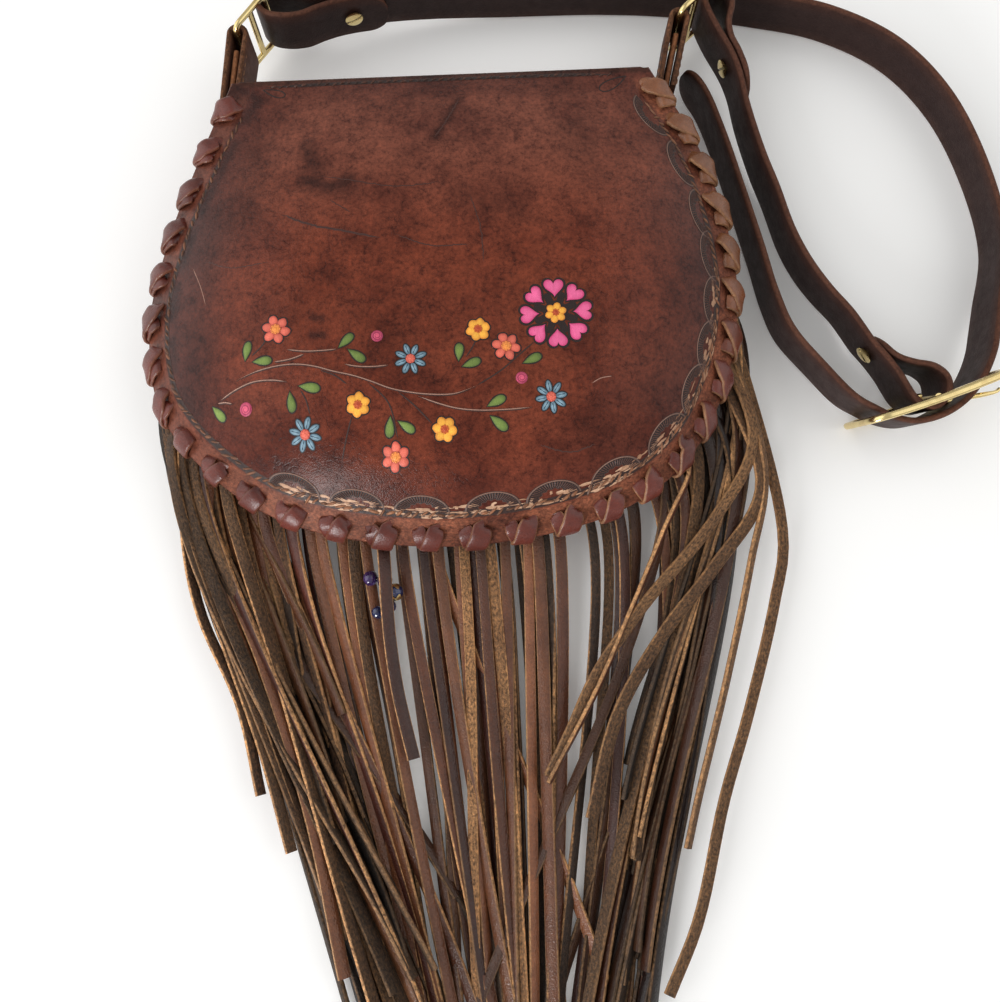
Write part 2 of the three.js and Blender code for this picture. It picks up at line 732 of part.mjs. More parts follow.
function fringeGeometry() {
  const strips = [];
  for (let strip = 0; strip < FRINGE_COUNT; strip += 1) {
    const share = FRINGE_START + (FRINGE_END - FRINGE_START) * ((strip + 0.5) / FRINGE_COUNT);
    strips.push(fringeStrip(fringeRoute(share, strip % FRINGE_LAYERS)));
  }
  return fuse([fringeHead(), ...strips]);
}

// Strap tab: a leather strip folded round the ring's near bar, its legs either side of the gusset's tongue
function tabGeometry(side) {
  const { base, bar, along, across } = tongueFrame(side);
  const wrap = Math.hypot(RING_BAR, RING_DEPTH) / 2 + SEAT_GAP + TAB_LEATHER / 2;
  const foot = base.clone().addScaledVector(along, TAB_FOOT);
  const route = [foot.clone().addScaledVector(across, TAB_LEG_SPACING / 2)];
  for (let step = 0; step <= TAB_ARC_STEPS; step += 1) {
    const angle = Math.PI * (step / TAB_ARC_STEPS);
    const place = bar.clone().addScaledVector(across, wrap * Math.cos(angle));
    route.push(place.addScaledVector(along, wrap * Math.sin(angle)));
  }
  route.push(foot.addScaledVector(across, -TAB_LEG_SPACING / 2));
  const low = RING_CENTRE_Z - TAB_HEIGHT / 2;
  return standingStrip(route.map((place) => place.setZ(low)), TAB_LEATHER, TAB_HEIGHT);
}

// Strip that stands on its edge along a route of points on its lower middle line
function standingStrip(route, thickness, height) {
  const sections = route.map((place, k) => {
    const before = route[Math.max(k - 1, 0)];
    const after = route[Math.min(k + 1, route.length - 1)];
    const arriving = place.clone().sub(before).setZ(0).normalize();
    const leaving = after.clone().sub(place).setZ(0).normalize();
    const along = arriving.clone().add(leaving).normalize();
    const turn = Math.sqrt((1 + THREE.MathUtils.clamp(arriving.dot(leaving), -1, 1)) / 2);
    const mitre = k > 0 && k < route.length - 1 ? 1 / turn : 1;
    const half = planNormal(along).multiplyScalar((thickness / 2) * mitre);
    const rise = point(0, 0, height);
    return [
      place.clone().sub(half),
      place.clone().add(half),
      place.clone().add(half).add(rise),
      place.clone().sub(half).add(rise),
    ];
  });
  return sweepSections(sections);
}

// Upright plate with rounded corners and windows cut through it, centred on the origin
function windowedPlate({ width, height, depth, corner, windows }) {
  const outline = roundedRectangle(width, height, corner);
  const solid = { depth, bevelEnabled: false, curveSegments: PLATE_CORNER_STEPS };
  const plate = new THREE.ExtrudeGeometry(outline, solid);
  plate.translate(0, 0, -depth / 2);
  const cutters = windows.map((hole) => new THREE.BoxGeometry(hole.width, hole.height, 2 * depth)
    .translate(hole.middle, 0, 0));
  return cut(plate, cutters).rotateX(Math.PI / 2);
}

function ringGeometry() {
  const windows = [-0.5, 0.5].map((side) => ({
    middle: side * RING_BAR_SPACING,
    width: RING_BAR_SPACING - RING_BAR,
    height: RING_HEIGHT - 2 * RING_BAR,
  }));
  const width = 2 * RING_BAR_SPACING + RING_BAR;
  return windowedPlate({ width, height: RING_HEIGHT, depth: RING_DEPTH, corner: RING_CORNER, windows });
}

function roundedRectangle(width, height, radius) {
  const x = width / 2 - radius;
  const y = height / 2 - radius;
  const quarter = Math.PI / 2;
  const shape = new THREE.Shape();
  shape.absarc(x, -y, radius, -quarter, 0);
  shape.absarc(x, y, radius, 0, quarter);
  shape.absarc(-x, y, radius, quarter, 2 * quarter);
  shape.absarc(-x, -y, radius, 2 * quarter, 3 * quarter);
  return shape;
}

// Plan point of the buckle's own axes
function buckleRow(row) {
  const place = point(row.a, row.b).applyAxisAngle(UP, BUCKLE_ANGLE);
  return { x: BUCKLE_X + place.x, y: BUCKLE_Y + place.y, base: row.base };
}

const longStrapRows = [
  ...LONG_STRAP_BEFORE_BUCKLE, ...LONG_STRAP_IN_BUCKLE.map(buckleRow), ...LONG_STRAP_TAIL,
];
const shortStrapRows = [...SHORT_STRAP_BEFORE_BUCKLE, ...SHORT_STRAP_IN_BUCKLE.map(buckleRow)];

function strapGeometry(rows) {
  const route = spline(rows).getPoints((rows.length - 1) * STRAP_STEPS_PER_ROW);
  return standingStrip(route, STRAP_LEATHER, STRAP_WIDTH);
}

// Screw seats: middle of the two layers, and the direction across them
function screwFrame({ rows, before, front, behind }) {
  const seat = ({ x, y, base }) => point(x, y, base);
  const [start, near, far] = [before, front, behind].map((row) => seat(rows[row]));
  const along = near.clone().sub(start).setZ(0).normalize();
  const across = planNormal(along);
  const spread = Math.abs(far.clone().sub(near).dot(across));
  const centre = near.add(far).multiplyScalar(0.5).add(point(0, 0, STRAP_WIDTH / 2));
  return { centre, across, grip: spread + STRAP_LEATHER };
}

const screwFrames = {
  screw_left: screwFrame({ rows: longStrapRows, before: 0, front: 1, behind: 12 }),
  screw_right: screwFrame({ rows: shortStrapRows, before: 1, front: 2, behind: 13 }),
  screw_buckle: screwFrame({ rows: shortStrapRows, before: 22, front: 23, behind: 38 }),
};

function acrossStrap(geometry, { centre, across }) {
  const turn = new THREE.Quaternion().setFromUnitVectors(point(0, 1), across);
  return geometry.applyQuaternion(turn).translate(centre.x, centre.y, centre.z);
}

function screwHole(frame) {
  const depth = frame.grip + 4 * STRAP_LEATHER;
  const hole = new THREE.CylinderGeometry(SCREW_HOLE_RADIUS, SCREW_HOLE_RADIUS, depth, SCREW_SIDES);
  return acrossStrap(hole, frame);
}

function screwGeometry(frame) {
  const seat = frame.grip / 2 + SCREW_SEAT;
  const end = seat + SCREW_HEAD_HEIGHT;
  const half = [
    [SCREW_POST_RADIUS, seat],
    [SCREW_HEAD_RADIUS, seat],
    [SCREW_HEAD_RADIUS, end - SCREW_BEVEL],
    [SCREW_HEAD_RADIUS - 2 * SCREW_BEVEL, end],
    [0, end],
  ];
  const lower = half.map(([radius, run]) => [radius, -run]).reverse();
  const profile = [...lower, ...half].map(([radius, run]) => new THREE.Vector2(radius, run));
  return acrossStrap(new THREE.LatheGeometry(profile, SCREW_SIDES), frame);
}

// Leans a piece over around the buckle, fully near it and less and less further off
function leanAtBuckle(geometry) {
  const corners = geometry.getAttribute('position');
  const lean = point(-Math.sin(BUCKLE_ANGLE), Math.cos(BUCKLE_ANGLE)).multiplyScalar(LEAN_SLOPE);
  const corner = point(0, 0);
  for (let k = 0; k < corners.count; k += 1) {
    corner.fromBufferAttribute(corners, k);
    const away = Math.hypot(corner.x - BUCKLE_X, corner.y - BUCKLE_Y);
    const share = 1 - THREE.MathUtils.smoothstep(away, LEAN_NEAR, LEAN_FAR);
    corner.addScaledVector(lean, share * (LEAN_PIVOT_Z - corner.z));
    corners.setXYZ(k, corner.x, corner.y, corner.z);
  }
  return geometry;
}

// Box in the buckle's axes
function buckleBox(fromA, toA, fromB, toB, fromZ, toZ) {
  const box = new THREE.BoxGeometry(toA - fromA, toB - fromB, toZ - fromZ);
  box.translate((fromA + toA) / 2, (fromB + toB) / 2, (fromZ + toZ) / 2);
  return box.rotateZ(BUCKLE_ANGLE).translate(BUCKLE_X, BUCKLE_Y, 0);
}

function tongueSlot({ fromA, toA, fromB, toB }) {
  const half = TONGUE_WIDTH / 2 + SLIT_CLEAR;
  return buckleBox(fromA, toA, fromB, toB, TONGUE_Z - half, TONGUE_Z + half);
}

function longStrapGeometry() {
  const hole = tongueSlot(LONG_STRAP_HOLE);
  return cut(strapGeometry(longStrapRows), [hole, screwHole(screwFrames.screw_left)]);
}

function shortStrapGeometry() {
  const slot = tongueSlot(SHORT_STRAP_SLOT);
  const holes = [screwHole(screwFrames.screw_right), screwHole(screwFrames.screw_buckle)];
  return cut(strapGeometry(shortStrapRows), [slot, ...holes]);
}

function buckleFrameGeometry() {
  const opening = {
    middle: 0,
    width: BUCKLE_LENGTH - 2 * BUCKLE_BAR,
    height: BUCKLE_HEIGHT - 2 * BUCKLE_BAR,
  };
  const frame = windowedPlate({
    width: BUCKLE_LENGTH,
    height: BUCKLE_HEIGHT,
    depth: BUCKLE_DEPTH,
    corner: BUCKLE_CORNER,
    windows: [opening],
  });
  const barLength = BUCKLE_HEIGHT - BUCKLE_BAR;
  const bar = new THREE.CylinderGeometry(CENTRE_BAR_RADIUS, CENTRE_BAR_RADIUS, barLength, CENTRE_BAR_SIDES);
  bar.rotateX(Math.PI / 2).translate(CENTRE_BAR_A, CENTRE_BAR_B, 0);
  const whole = fuse([frame, bar]);
  whole.rotateZ(BUCKLE_ANGLE);
  return whole.translate(BUCKLE_X, BUCKLE_Y, BUCKLE_HEIGHT / 2 + BUCKLE_FLOOR_GAP);
}

// Tongue: an eye round the centre bar and a prong that rests on the far end bar
function buckleTongueGeometry() {
  const bore = CENTRE_BAR_RADIUS + SEAT_GAP;
  const rim = bore + TONGUE_EYE_WALL;
  const barrel = (radius, length) => new THREE.CylinderGeometry(radius, radius, length, TONGUE_EYE_SIDES)
    .rotateX(Math.PI / 2)
    .translate(CENTRE_BAR_A, CENTRE_BAR_B, 0);
  const eye = barrel(rim, TONGUE_WIDTH);
  const hole = barrel(bore, 2 * TONGUE_WIDTH);
  const prong = new THREE.BoxGeometry(TONGUE_END_A - CENTRE_BAR_A, TONGUE_THICK, TONGUE_WIDTH);
  prong.translate((TONGUE_END_A + CENTRE_BAR_A) / 2, TONGUE_REST_B, 0);
  const tongue = cut(fuse([eye, prong]), [hole]);
  tongue.rotateZ(BUCKLE_ANGLE);
  return tongue.translate(BUCKLE_X, BUCKLE_Y, TONGUE_Z);
}

// Beads strung close on a thread, lying on the strips
function beadCharmGeometry() {
  const lie = (bead) => point(bead.x, bead.y, bead.z);
  const thread = CHARM_BEADS.slice(1).map((bead, k) => {
    const start = lie(CHARM_BEADS[k]);
    const run = lie(bead).sub(start);
    const pin = new THREE.CylinderGeometry(
      CHARM_THREAD_RADIUS, CHARM_THREAD_RADIUS, run.length(), CHARM_THREAD_SIDES);
    pin.applyQuaternion(new THREE.Quaternion().setFromUnitVectors(point(0, 1), run.clone().normalize()));
    const middle = start.addScaledVector(run, 0.5);
    return pin.translate(middle.x, middle.y, middle.z);
  });
  const beads = CHARM_BEADS.map((bead) => {
    const place = lie(bead);
    return new THREE.SphereGeometry(bead.radius, BEAD_SIDES, BEAD_BANDS).rotateX(Math.PI / 2)
      .translate(place.x, place.y, place.z);
  });
  return fuse([...beads, ...thread]);
}

// Finishes
const FINISHES = {
  flapLeather: { color: 0x6e3a2a, roughness: 0.45, metalness: 0 },
  bodyLeather: { color: 0x5d3628, roughness: 0.55, metalness: 0 },
  lace: { color: 0x5f322d, roughness: 0.4, metalness: 0 },
  fringeLeather: { color: 0x694632, roughness: 0.7, metalness: 0 },
  strapLeather: { color: 0x32262a, roughness: 0.5, metalness: 0 },
  brass: { color: 0xd9c27a, roughness: 0.25, metalness: 1 },
  glass: { color: 0x4a3a78, roughness: 0.15, metalness: 0 },
};

const bag = new THREE.Group();

function addPiece(name, geometry, finish) {
  const mesh = new THREE.Mesh(geometry, new THREE.MeshStandardMaterial(FINISHES[finish]));
  mesh.name = name;
  bag.add(mesh);
  return mesh;
}

addPiece('back_panel', backPanelGeometry(), 'bodyLeather');
addPiece('gusset', gussetGeometry(), 'bodyLeather');
addPiece('front_panel', frontPanelGeometry(), 'bodyLeather');
addPiece('flap', flapGeometry(), 'flapLeather');
addPiece('flap_lacing', lacingGeometry(), 'lace');
addPiece('fringe', fringeGeometry(), 'fringeLeather');
for (const side of ['left', 'right']) {
  addPiece(`tab_${side}`, tabGeometry(side), 'bodyLeather');
  const { farX, farY, towardsX, towardsY } = RINGS[side];
  const ring = addPiece(`ring_${side}`, ringGeometry(), 'brass');
  const middle = RING_BAR_SPACING;
  ring.position.set(farX + towardsX * middle, farY + towardsY * middle, RING_CENTRE_Z);
  ring.rotation.z = Math.atan2(-towardsY, -towardsX);
}
addPiece('strap_long', leanAtBuckle(longStrapGeometry()), 'strapLeather');
addPiece('strap_short', leanAtBuckle(shortStrapGeometry()), 'strapLeather');
for (const [name, frame] of Object.entries(screwFrames)) {
  addPiece(name, leanAtBuckle(screwGeometry(frame)), 'brass');
}
addPiece('buckle_frame', leanAtBuckle(buckleFrameGeometry()), 'brass');
addPiece('buckle_tongue', leanAtBuckle(buckleTongueGeometry()), 'brass');
addPiece('bead_charm', beadCharmGeometry(), 'glass');

export default bag;
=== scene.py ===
"""Looks of the tooled leather bag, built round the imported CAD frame.

Sizes in the script are millimetres in the CAD frame; meshes are written in metres.
Rows marked as pixels are places in the 1000 x 1002 photograph, carried onto the flap's face.
"""

import math

import bpy
import numpy as np
from mathutils import Matrix


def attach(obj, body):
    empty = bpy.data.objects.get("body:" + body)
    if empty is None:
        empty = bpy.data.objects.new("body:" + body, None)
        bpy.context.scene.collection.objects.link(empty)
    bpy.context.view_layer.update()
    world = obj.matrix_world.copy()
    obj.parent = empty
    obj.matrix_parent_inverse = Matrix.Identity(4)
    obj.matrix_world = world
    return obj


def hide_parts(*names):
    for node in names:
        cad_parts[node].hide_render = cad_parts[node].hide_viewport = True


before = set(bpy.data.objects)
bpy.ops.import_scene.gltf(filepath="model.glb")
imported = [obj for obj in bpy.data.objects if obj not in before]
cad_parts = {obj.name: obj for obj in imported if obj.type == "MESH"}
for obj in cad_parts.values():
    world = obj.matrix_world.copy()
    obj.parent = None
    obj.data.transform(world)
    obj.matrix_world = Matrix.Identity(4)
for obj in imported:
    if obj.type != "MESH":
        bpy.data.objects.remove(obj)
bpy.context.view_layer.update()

SEED = 20
MM = 0.001
RNG = np.random.default_rng(SEED)

# Camera
IMAGE_LONG_SIDE = 1002
PRINCIPAL_U = 500
PRINCIPAL_V = 501
FOCAL_PX = 1020
SENSOR = 36
TILT = math.radians(12)
TURN = math.radians(2.5)
EYE = np.array([16.792, -173.379, 453.86])
SIGHT_STEPS = 14
SIGHT_START_Z = 50
PIXEL_PROBE = 10

# Leather walls and heights of the lying bag, as in the CAD source
BODY_LEATHER = 2.4
GUSSET_LEATHER = 2.6
TAB_LEATHER = 3
STRAP_LEATHER = 2.8
STRAP_WIDTH = 25
SEAT_GAP = 0.3
FLAP_TOP_Y = 108
EDGE_LOW_Z = 26
EDGE_HIGH_Z = 48
EDGE_LOW_Y = -70
CROWN_Z = 63
CROWN_START_Y = 10
CROWN_POWER = 2.4
SHOULDER_WIDTH = 80
SHOULDER_POWER = 2.6
NORMAL_PROBE = 1.5
OUTLINE_SAMPLES = 240
SPAN_STEPS = 40
HEADING_REACH = 0.6
SHEET_CORNER = 3
COLUMN_EASE = 1.8
ROW_EASE = 1.7
FLAP_EDGE = [
    (-90, FLAP_TOP_Y), (-105, 78), (-121, 40), (-130, 2), (-125, -37), (-104, -65), (-69, -88.5), (0, -101),
    (70, -89.5), (103, -67), (121.5, -35), (129.8, 4), (126, 42), (114, 77), (95, FLAP_TOP_Y),
]
GUSSET_LINE = [
    (-95, 106), (-102.5, 82), (-114, 46), (-121.5, 8), (-118, -32), (-97, -60.5), (-64, -81), (0, -92.5),
    (65, -82), (96, -62.5), (114.5, -34), (121.8, 6), (118.5, 44), (110.5, 76), (105.2, 106),
]
FRONT_DROP = 9
FRONT_TOP_Y = 78
FRONT_SEAT = 1
GUSSET_FOOT_Z = BODY_LEATHER + SEAT_GAP
WALL_LEFT = -86.5
WALL_RIGHT = 91.5
WALL_OUTER_Y = 107.3
WALL_TOP_Z = 44.8
WALL_BEND = 14
BACK_LOW_SHARE = 0.47
BACK_HIGH_SHARE = 0.045

# Fineness of the meshes
FLAP_COLUMNS = 300
FLAP_ROWS = 160
FRONT_COLUMNS = 90
FRONT_ROWS = 28
INNER_ROW_STEP = 4
RIM_STEPS = 6
FACE_STEPS = 4
GUSSET_STEPS = 220
GUSSET_SEARCH = 401
TONGUE_STEPS = 14
BEND_STEPS = 12
WALL_STEPS = 9
BACK_STEPS = 60
BACK_COLUMNS = 40
STRAP_STEP = 1.3
SHARP_ANGLE = math.radians(55)
RIM_BURNISH = 0.25
RIM_BULGE = 0.8
RIBBON_ENDS = 9
RIBBON_TIP = 0.12

# Lacing: along the edge, inward from the edge and up from the face
LACE_UNITS = 30
LACE_END_INSET = 11
LACE_STATIONS = 30
LACE_SIDES = 16
LACE_TAN_FROM = 24
LACE_CUT_FROM = 16
LACE_RUN_WIDTH = 6
LACE_RUN_THICK = 1.4
SHORT_LOOP = {"hole": 0.5, "width": 7.2, "thick": 2, "rows": [
    (-0.05, 5.6, -1.6), (0, 5.4, 0.6), (0.25, 4.4, 1.8), (0.55, 2.6, 1.9), (0.85, 0.8, 1.2), (1, -0.8, 0),
    (1.1, -1.2, -2.1), (1.2, 1, -3.9), (1.3, 4.5, -4.2)]}
WIDE_LOOP = {"hole": -0.5, "width": 8.4, "thick": 2.3, "rows": [
    (-0.06, 6.1, -1.6), (0, 5.9, 0.8), (0.2, 4.9, 2.4), (0.5, 2.9, 3), (0.8, 0.6, 2.5), (1, -1.4, 0.8),
    (1.05, -1.9, -1.9), (0.9, 0, -3.9), (0.6, 4.5, -4.2)]}

# Tooling on the flap
STITCH_INSET = 11
STITCH_PITCH = 3.7
STITCH_SIZE = (4.7, 1.25)
STITCH_HIGH = 0.55
STITCH_SLANT = math.radians(24)
SEAM_Y = 105.2
SEAM_LEFT = -72
SEAM_RIGHT = 78
SEAM_PITCH = 3.4
SEAM_STITCH = (2.9, 0.95)
TORN_FROM = 0.37
TORN_TO = 0.83
TORN_BRIGHT_TO = 0.6
TORN_COUNT = 230
WAVES = (1, 2, 3, 4)
EDGE_SEARCH = 1200
STAMP_LONG = 11.2
STAMP_OFF_STITCH = 0.9
STAMP_DEEP = 5.8
STAMP_RAYS = 27
STAMP_RAY_SAMPLES = 8
STAMP_PIXELS = [
    (294, 488), (357, 504), (422, 506), (493, 502), (552, 487), (613, 465), (665, 431),
    (692, 386), (703, 342), (708, 298), (704, 254), (689, 212), (672, 164), (646, 118),
]
BURNISHED_STAMP_PIXELS = [(265, 110), (240, 160), (225, 200), (210, 250), (188, 300), (180, 352), (192, 402)]
BURNISHED_HALF = 7
BURNISHED_IN = 3
BURNISHED_STRENGTH = 0.8
CORAL_FLOWERS = [(275.7, 329.4), (506.3, 346.1), (395.8, 457.2)]
YELLOW_FLOWERS = [(478, 329), (357.9, 404.6), (444.8, 429.2)]
BLUE_DAISIES = [(410.5, 358.7), (305.3, 434.6), (551.2, 396.6)]
PINK_ROUNDELS = [(377, 336), (246, 409.4), (521.7, 377.7)]
HEART_FLOWER = (555.8, 312.7)
CORAL_RADIUS_PX = 14.5
YELLOW_RADIUS_PX = 12.5
DAISY_RADIUS_PX = 15.8
ROUNDEL_RADIUS_PX = 6
HEART_RING_PX = 26
HEART_LONG_PX = 19
HEART_WIDE_PX = 19
HEART_MIDDLE_PX = 11
LEAVES = [
    ((245, 361), (248.5, 342)), ((252.7, 362), (271.8, 360)), ((338.8, 347.6), (353, 334)),
    ((348, 349.5), (364.6, 361)), ((298.6, 386), (319.7, 388.7)), ((289.6, 392), (292.9, 412.6)),
    ((212.9, 407), (225, 421)), ((390.4, 416), (389.5, 437.5)), ((398, 421), (414.4, 431.7)),
    ((458.6, 361.5), (459.3, 343.3)), ((462, 366.5), (480.3, 359.4)), ((523, 363), (541.4, 355.2)),
    ((487.3, 406.4), (504.9, 396.6)), ((490.2, 415.6), (507, 429.6)),
]
LEAF_WIDTH = 0.46
# Vine cuts drawn light along their length: a painted highlight on each cut
HIGHLIT_VINE_CUTS = [
    [(236, 381), (256, 371.5), (276, 366), (295, 364), (314, 366), (333, 371), (352, 375),
     (371, 381), (390, 388), (410, 392), (429, 394), (454, 393.5), (476, 386)],
    [(220, 401), (235.5, 390), (253, 382), (272, 380), (287, 381.6)],
    [(287, 349.5), (304, 351), (320, 350.5), (337, 349)],
    [(274, 362), (290, 359), (304, 354)],
    [(344.5, 364), (356, 366), (372, 366.5), (388, 365)],
    [(418, 396), (438, 403), (457, 408), (480, 410), (510, 409), (532, 407)],
    [(218, 403.6), (225, 402.6), (232, 403.6)],
]
DARK_STEMS = [
    [(476, 386), (500, 371), (520, 354), (535, 341)],
    [(300.5, 390), (306, 400), (310, 414.5)],
    [(320, 370), (334, 375), (347, 384)],
    [(367.5, 382), (388.5, 403), (398, 439)],
    [(398, 391.6), (415, 406), (432.5, 424)],
    [(252, 356), (262, 346), (266, 340)],
    [(466, 357), (472, 348), (476, 340)],
    [(352, 416), (346, 440), (342, 462)],
]
VINE_WIDTH = 0.6
STEM_WIDTH = 0.6
CORNER_LEAVES = [((263, 90), (285, 96)), ((626, 76), (600, 90))]

# Marks on the leather: pixel rows, half width in millimetres and strength
DARK_MARKS = [
    ([(312, 318), (322, 318)], 1.6, 0.75), ([(311, 335), (323, 335)], 1.7, 0.85),
    ([(304, 180), (330, 187), (350, 178)], 3, 0.8), ([(305, 146), (318, 168)], 4, 0.55),
    ([(310, 186), (345, 192)], 5, 0.35), ([(459, 99), (448, 118), (434, 138)], 1.8, 0.7),
    ([(258, 150), (250, 215)], 8, 0.3), ([(470, 195), (520, 210)], 7, 0.25),
    ([(570, 130), (600, 175)], 8, 0.25), ([(612, 440), (660, 390), (690, 320), (670, 220)], 16, 0.38),
    ([(215, 230), (200, 300), (200, 380)], 12, 0.4), ([(560, 440), (600, 425)], 8, 0.25),
    ([(330, 470), (380, 480)], 8, 0.3),
]

# Creases and scratches: pixel rows and width. The creases are drawn as dark lines, painted shade in their
# folds.
CREASES = [
    ([(282, 215), (312, 225), (345, 231), (380, 238)], 1.0), ([(395, 234), (430, 245), (470, 244)], 0.5),
    ([(320, 176), (350, 180), (395, 186), (440, 182)], 0.45), ([(330, 200), (350, 212)], 0.4),
    ([(459, 99), (448, 118), (434, 138)], 0.6), ([(470, 195), (480, 225), (484, 262)], 0.45),
    ([(540, 445), (570, 452), (596, 444)], 0.5), ([(205, 262), (232, 268), (268, 262)], 0.4),
]
SCRATCHES = [
    ([(592, 383), (601, 378), (612, 376)], 0.5), ([(193, 268), (201, 288), (206, 306)], 0.4),
]

# Fringe
HEAD_LOW_Z = 11
HEAD_HIGH_Z = 22
HEAD_THICK = 2
HEAD_GAP = 0.4
FRINGE_START = 0.13
FRINGE_END = 0.87
FRINGE_LAYERS = 6
FRINGE_PER_LAYER = 58
FRINGE_STATIONS = 44
FRINGE_LENGTH = 285
FRINGE_ROOT_Z = 12
FRINGE_ROOT_RISE = 1.4
FRINGE_FALL_Z = 4
FRINGE_LAYER_RISE = 2.1
FRINGE_THICK = 1.9
FRINGE_WIDTH_RANGE = (4.2, 5.6)
FRINGE_KEEP = [1.0, 0.95, 0.8, 0.65, 0.55, 0.45]
FRINGE_MIDDLE_KEEP = [1.0, 0.92, 0.7]
FRINGE_MIDDLE_SIDEWAYS = 0.22
FRINGE_WILD = 0.15
FRINGE_WILD_JITTER = 26
FRINGE_EDGE_ON = 0.12
FRINGE_TILT = (0.25, 0.9)
FRINGE_SIDE_TILT = (0.7, 1.4)
FRINGE_TIP_LEFT = -56
FRINGE_TIP_RIGHT = 70
FRINGE_SWELL_LEFT = 25
FRINGE_SWELL_RIGHT = 46
FRINGE_SIDE_FALL = 52
FRINGE_SIDE_LOSS = 22
FRINGE_SPREAD_LEFT = 0.25
FRINGE_SPREAD_RIGHT = 0.34
FRINGE_SIDE_SPREAD = 0.26
FRINGE_TIP_SHIFT = 12
FRINGE_ARRIVAL = 95
FRINGE_ARRIVAL_SWEEP = 0.4
FRINGE_TIP_JITTER = 7
FRINGE_SHORTEST = 0.74
FLOOR_GAP = 0.3
# Lower fringe layers are painted darker, down to the darkest painted shade below: painted shade under and
# between the strips
FRINGE_DEEP_SHADE = 0.1
FRINGE_DARKEST_SHADE = 0.16
FRINGE_TONE = 0.92
FRINGE_TIP_LOSS = 0.3
FRINGE_GAP_PIXELS = [(398, 680), (408, 720), (418, 760), (572, 640), (636, 690)]
FRINGE_GAP_HALF = 4.1
GUIDED_TIP_Z = 13
GUIDED_STRIPS = [
    {"root": 0.66, "turn": 1.35, "flesh": False, "z": 22, "edge": 1.5,
     "pixels": [(689, 465), (664, 531), (630, 615), (601, 684), (550, 784)]},
    {"root": 0.79, "turn": 0.5, "flesh": True, "z": 21, "edge": 1,
     "pixels": [(753, 441), (714, 520), (645, 604), (598, 673), (572, 731), (550, 778)]},
    {"root": 0.77, "turn": 0.4, "flesh": True, "z": 19, "edge": 1,
     "pixels": [(761, 488), (714, 568), (666, 631), (619, 715), (593, 820)]},
    {"root": 0.84, "turn": 0.2, "flesh": True, "z": 12, "edge": 0.8,
     "pixels": [(783, 535), (775, 600), (748, 715), (724, 800), (698, 921), (669, 995)]},
    {"root": 0.81, "turn": 0.9, "flesh": True, "z": 18, "edge": 1,
     "pixels": [(765, 470), (752, 560), (728, 680), (700, 800), (690, 850)]},
    {"root": 0.26, "turn": 0.8, "flesh": True, "z": 11, "edge": 1,
     "pixels": [(187, 548), (202, 615), (242, 707), (262, 795)]},
    {"root": 0.27, "turn": 0.7, "flesh": True, "z": 12, "edge": 1,
     "pixels": [(196, 545), (222, 630), (264, 750), (292, 852)]},
    {"root": 0.3, "turn": 0.5, "flesh": False, "z": 12, "edge": 0.9,
     "pixels": [(214, 540), (262, 660), (312, 820), (345, 978)]},
    {"root": 0.448, "turn": 0.3, "flesh": False, "z": 22, "edge": 1,
     "pixels": [(385, 572), (386, 600), (389, 640), (396, 690), (412, 760)]},
]

# Strap tabs and rings
TAB_HEIGHT = 24
TAB_SHOWN = 2.4
TAB_FOOT = 1
TAB_ARC_STEPS = 24
RING_CENTRE_Z = 25
RING_HEIGHT = 34
RING_BAR = 3
RING_DEPTH = 2.6
RING_BAR_SPACING = 10.5
RING_CORNER = 3.4
TONGUE_HEIGHT = 20
TONGUE_START = 5
TONGUE_SHORT_OF_BAR = 8
RINGS = {
    "left": {"far": (-78.6, 158.8), "towards": (-0.61, -0.792)},
    "right": {"far": (129.8, 156.3), "towards": (-0.737, -0.675)},
}

# Buckle, with its own plan axes: a along the frame and b across it
BUCKLE_CENTRE = np.array([211.7, -46.2])
BUCKLE_ANGLE = math.radians(17.6)
BUCKLE_LENGTH = 66
BUCKLE_HEIGHT = 38
BUCKLE_BAR = 4
BUCKLE_DEPTH = 3.6
BUCKLE_CORNER = 6
BUCKLE_FOOT_Z = 0.2
BUCKLE_MIDDLE_Z = BUCKLE_FOOT_Z + BUCKLE_HEIGHT / 2
BUCKLE_BOW = 1.4
CENTRE_BAR = (-1.5, -0.4)
CENTRE_BAR_RADIUS = 1.8
PRONG = [(1.5, -4.4), (6, -4.2), (13, -4.9), (21, -6), (28, -7.2), (32.5, -7.6), (34.4, -6.9)]
PRONG_WIDTH = 3.2
PRONG_THICK = 2.4
LEAN_SLOPE = 0.2
LEAN_PIVOT_Z = 34
LEAN_NEAR = 42
LEAN_FAR = 110

# Straps: middle line in plan and height of the lower edge
LONG_STRAP_BEFORE = [
    (-23, 165.3, 6), (-40, 161.8, 8), (-48, 159.4, 9), (-55, 156.4, 10), (-63, 152.9, 10.5), (-72, 151, 12.5),
    (-79, 153.2, 12.5), (-82.5, 158.5, 12.5), (-80, 164, 12.5), (-72, 165.8, 11), (-58, 163.2, 10),
    (-48, 162.9, 9), (-40, 165.2, 8), (-23, 168.7, 6), (-2, 171.6, 3.2), (32, 173, 0.7), (82, 172.5, 0.3),
    (117, 169.6, 0.2), (155, 162.6, 0.2), (190, 153, 0.2), (220, 134.5, 0.2), (240, 107.5, 0.2),
    (252, 72, 0.2), (256.5, 32, 0.2), (250, -1, 0.8),
]
LONG_STRAP_IN_BUCKLE = [
    (42.5, 20.7, 3), (35.1, 11.7, 5.4), (26.9, 3.8, 6.5), (19, -2.1, 6.5), (10, -6.4, 6.5), (-1, -8.4, 6.5),
    (-12, -7, 6.5), (-20, -2.2, 6.5), (-26, 4.6, 5.6), (-31, 12, 4),
]
LONG_STRAP_TAIL = [
    (168, -29, 0.8), (155.5, -10, 0.2), (149.5, 9, 0.2), (145, 32, 0.2), (138.5, 63, 0.2), (132, 92, 0.2),
    (126, 112, 0.2), (118.2, 126, 0.2),
]
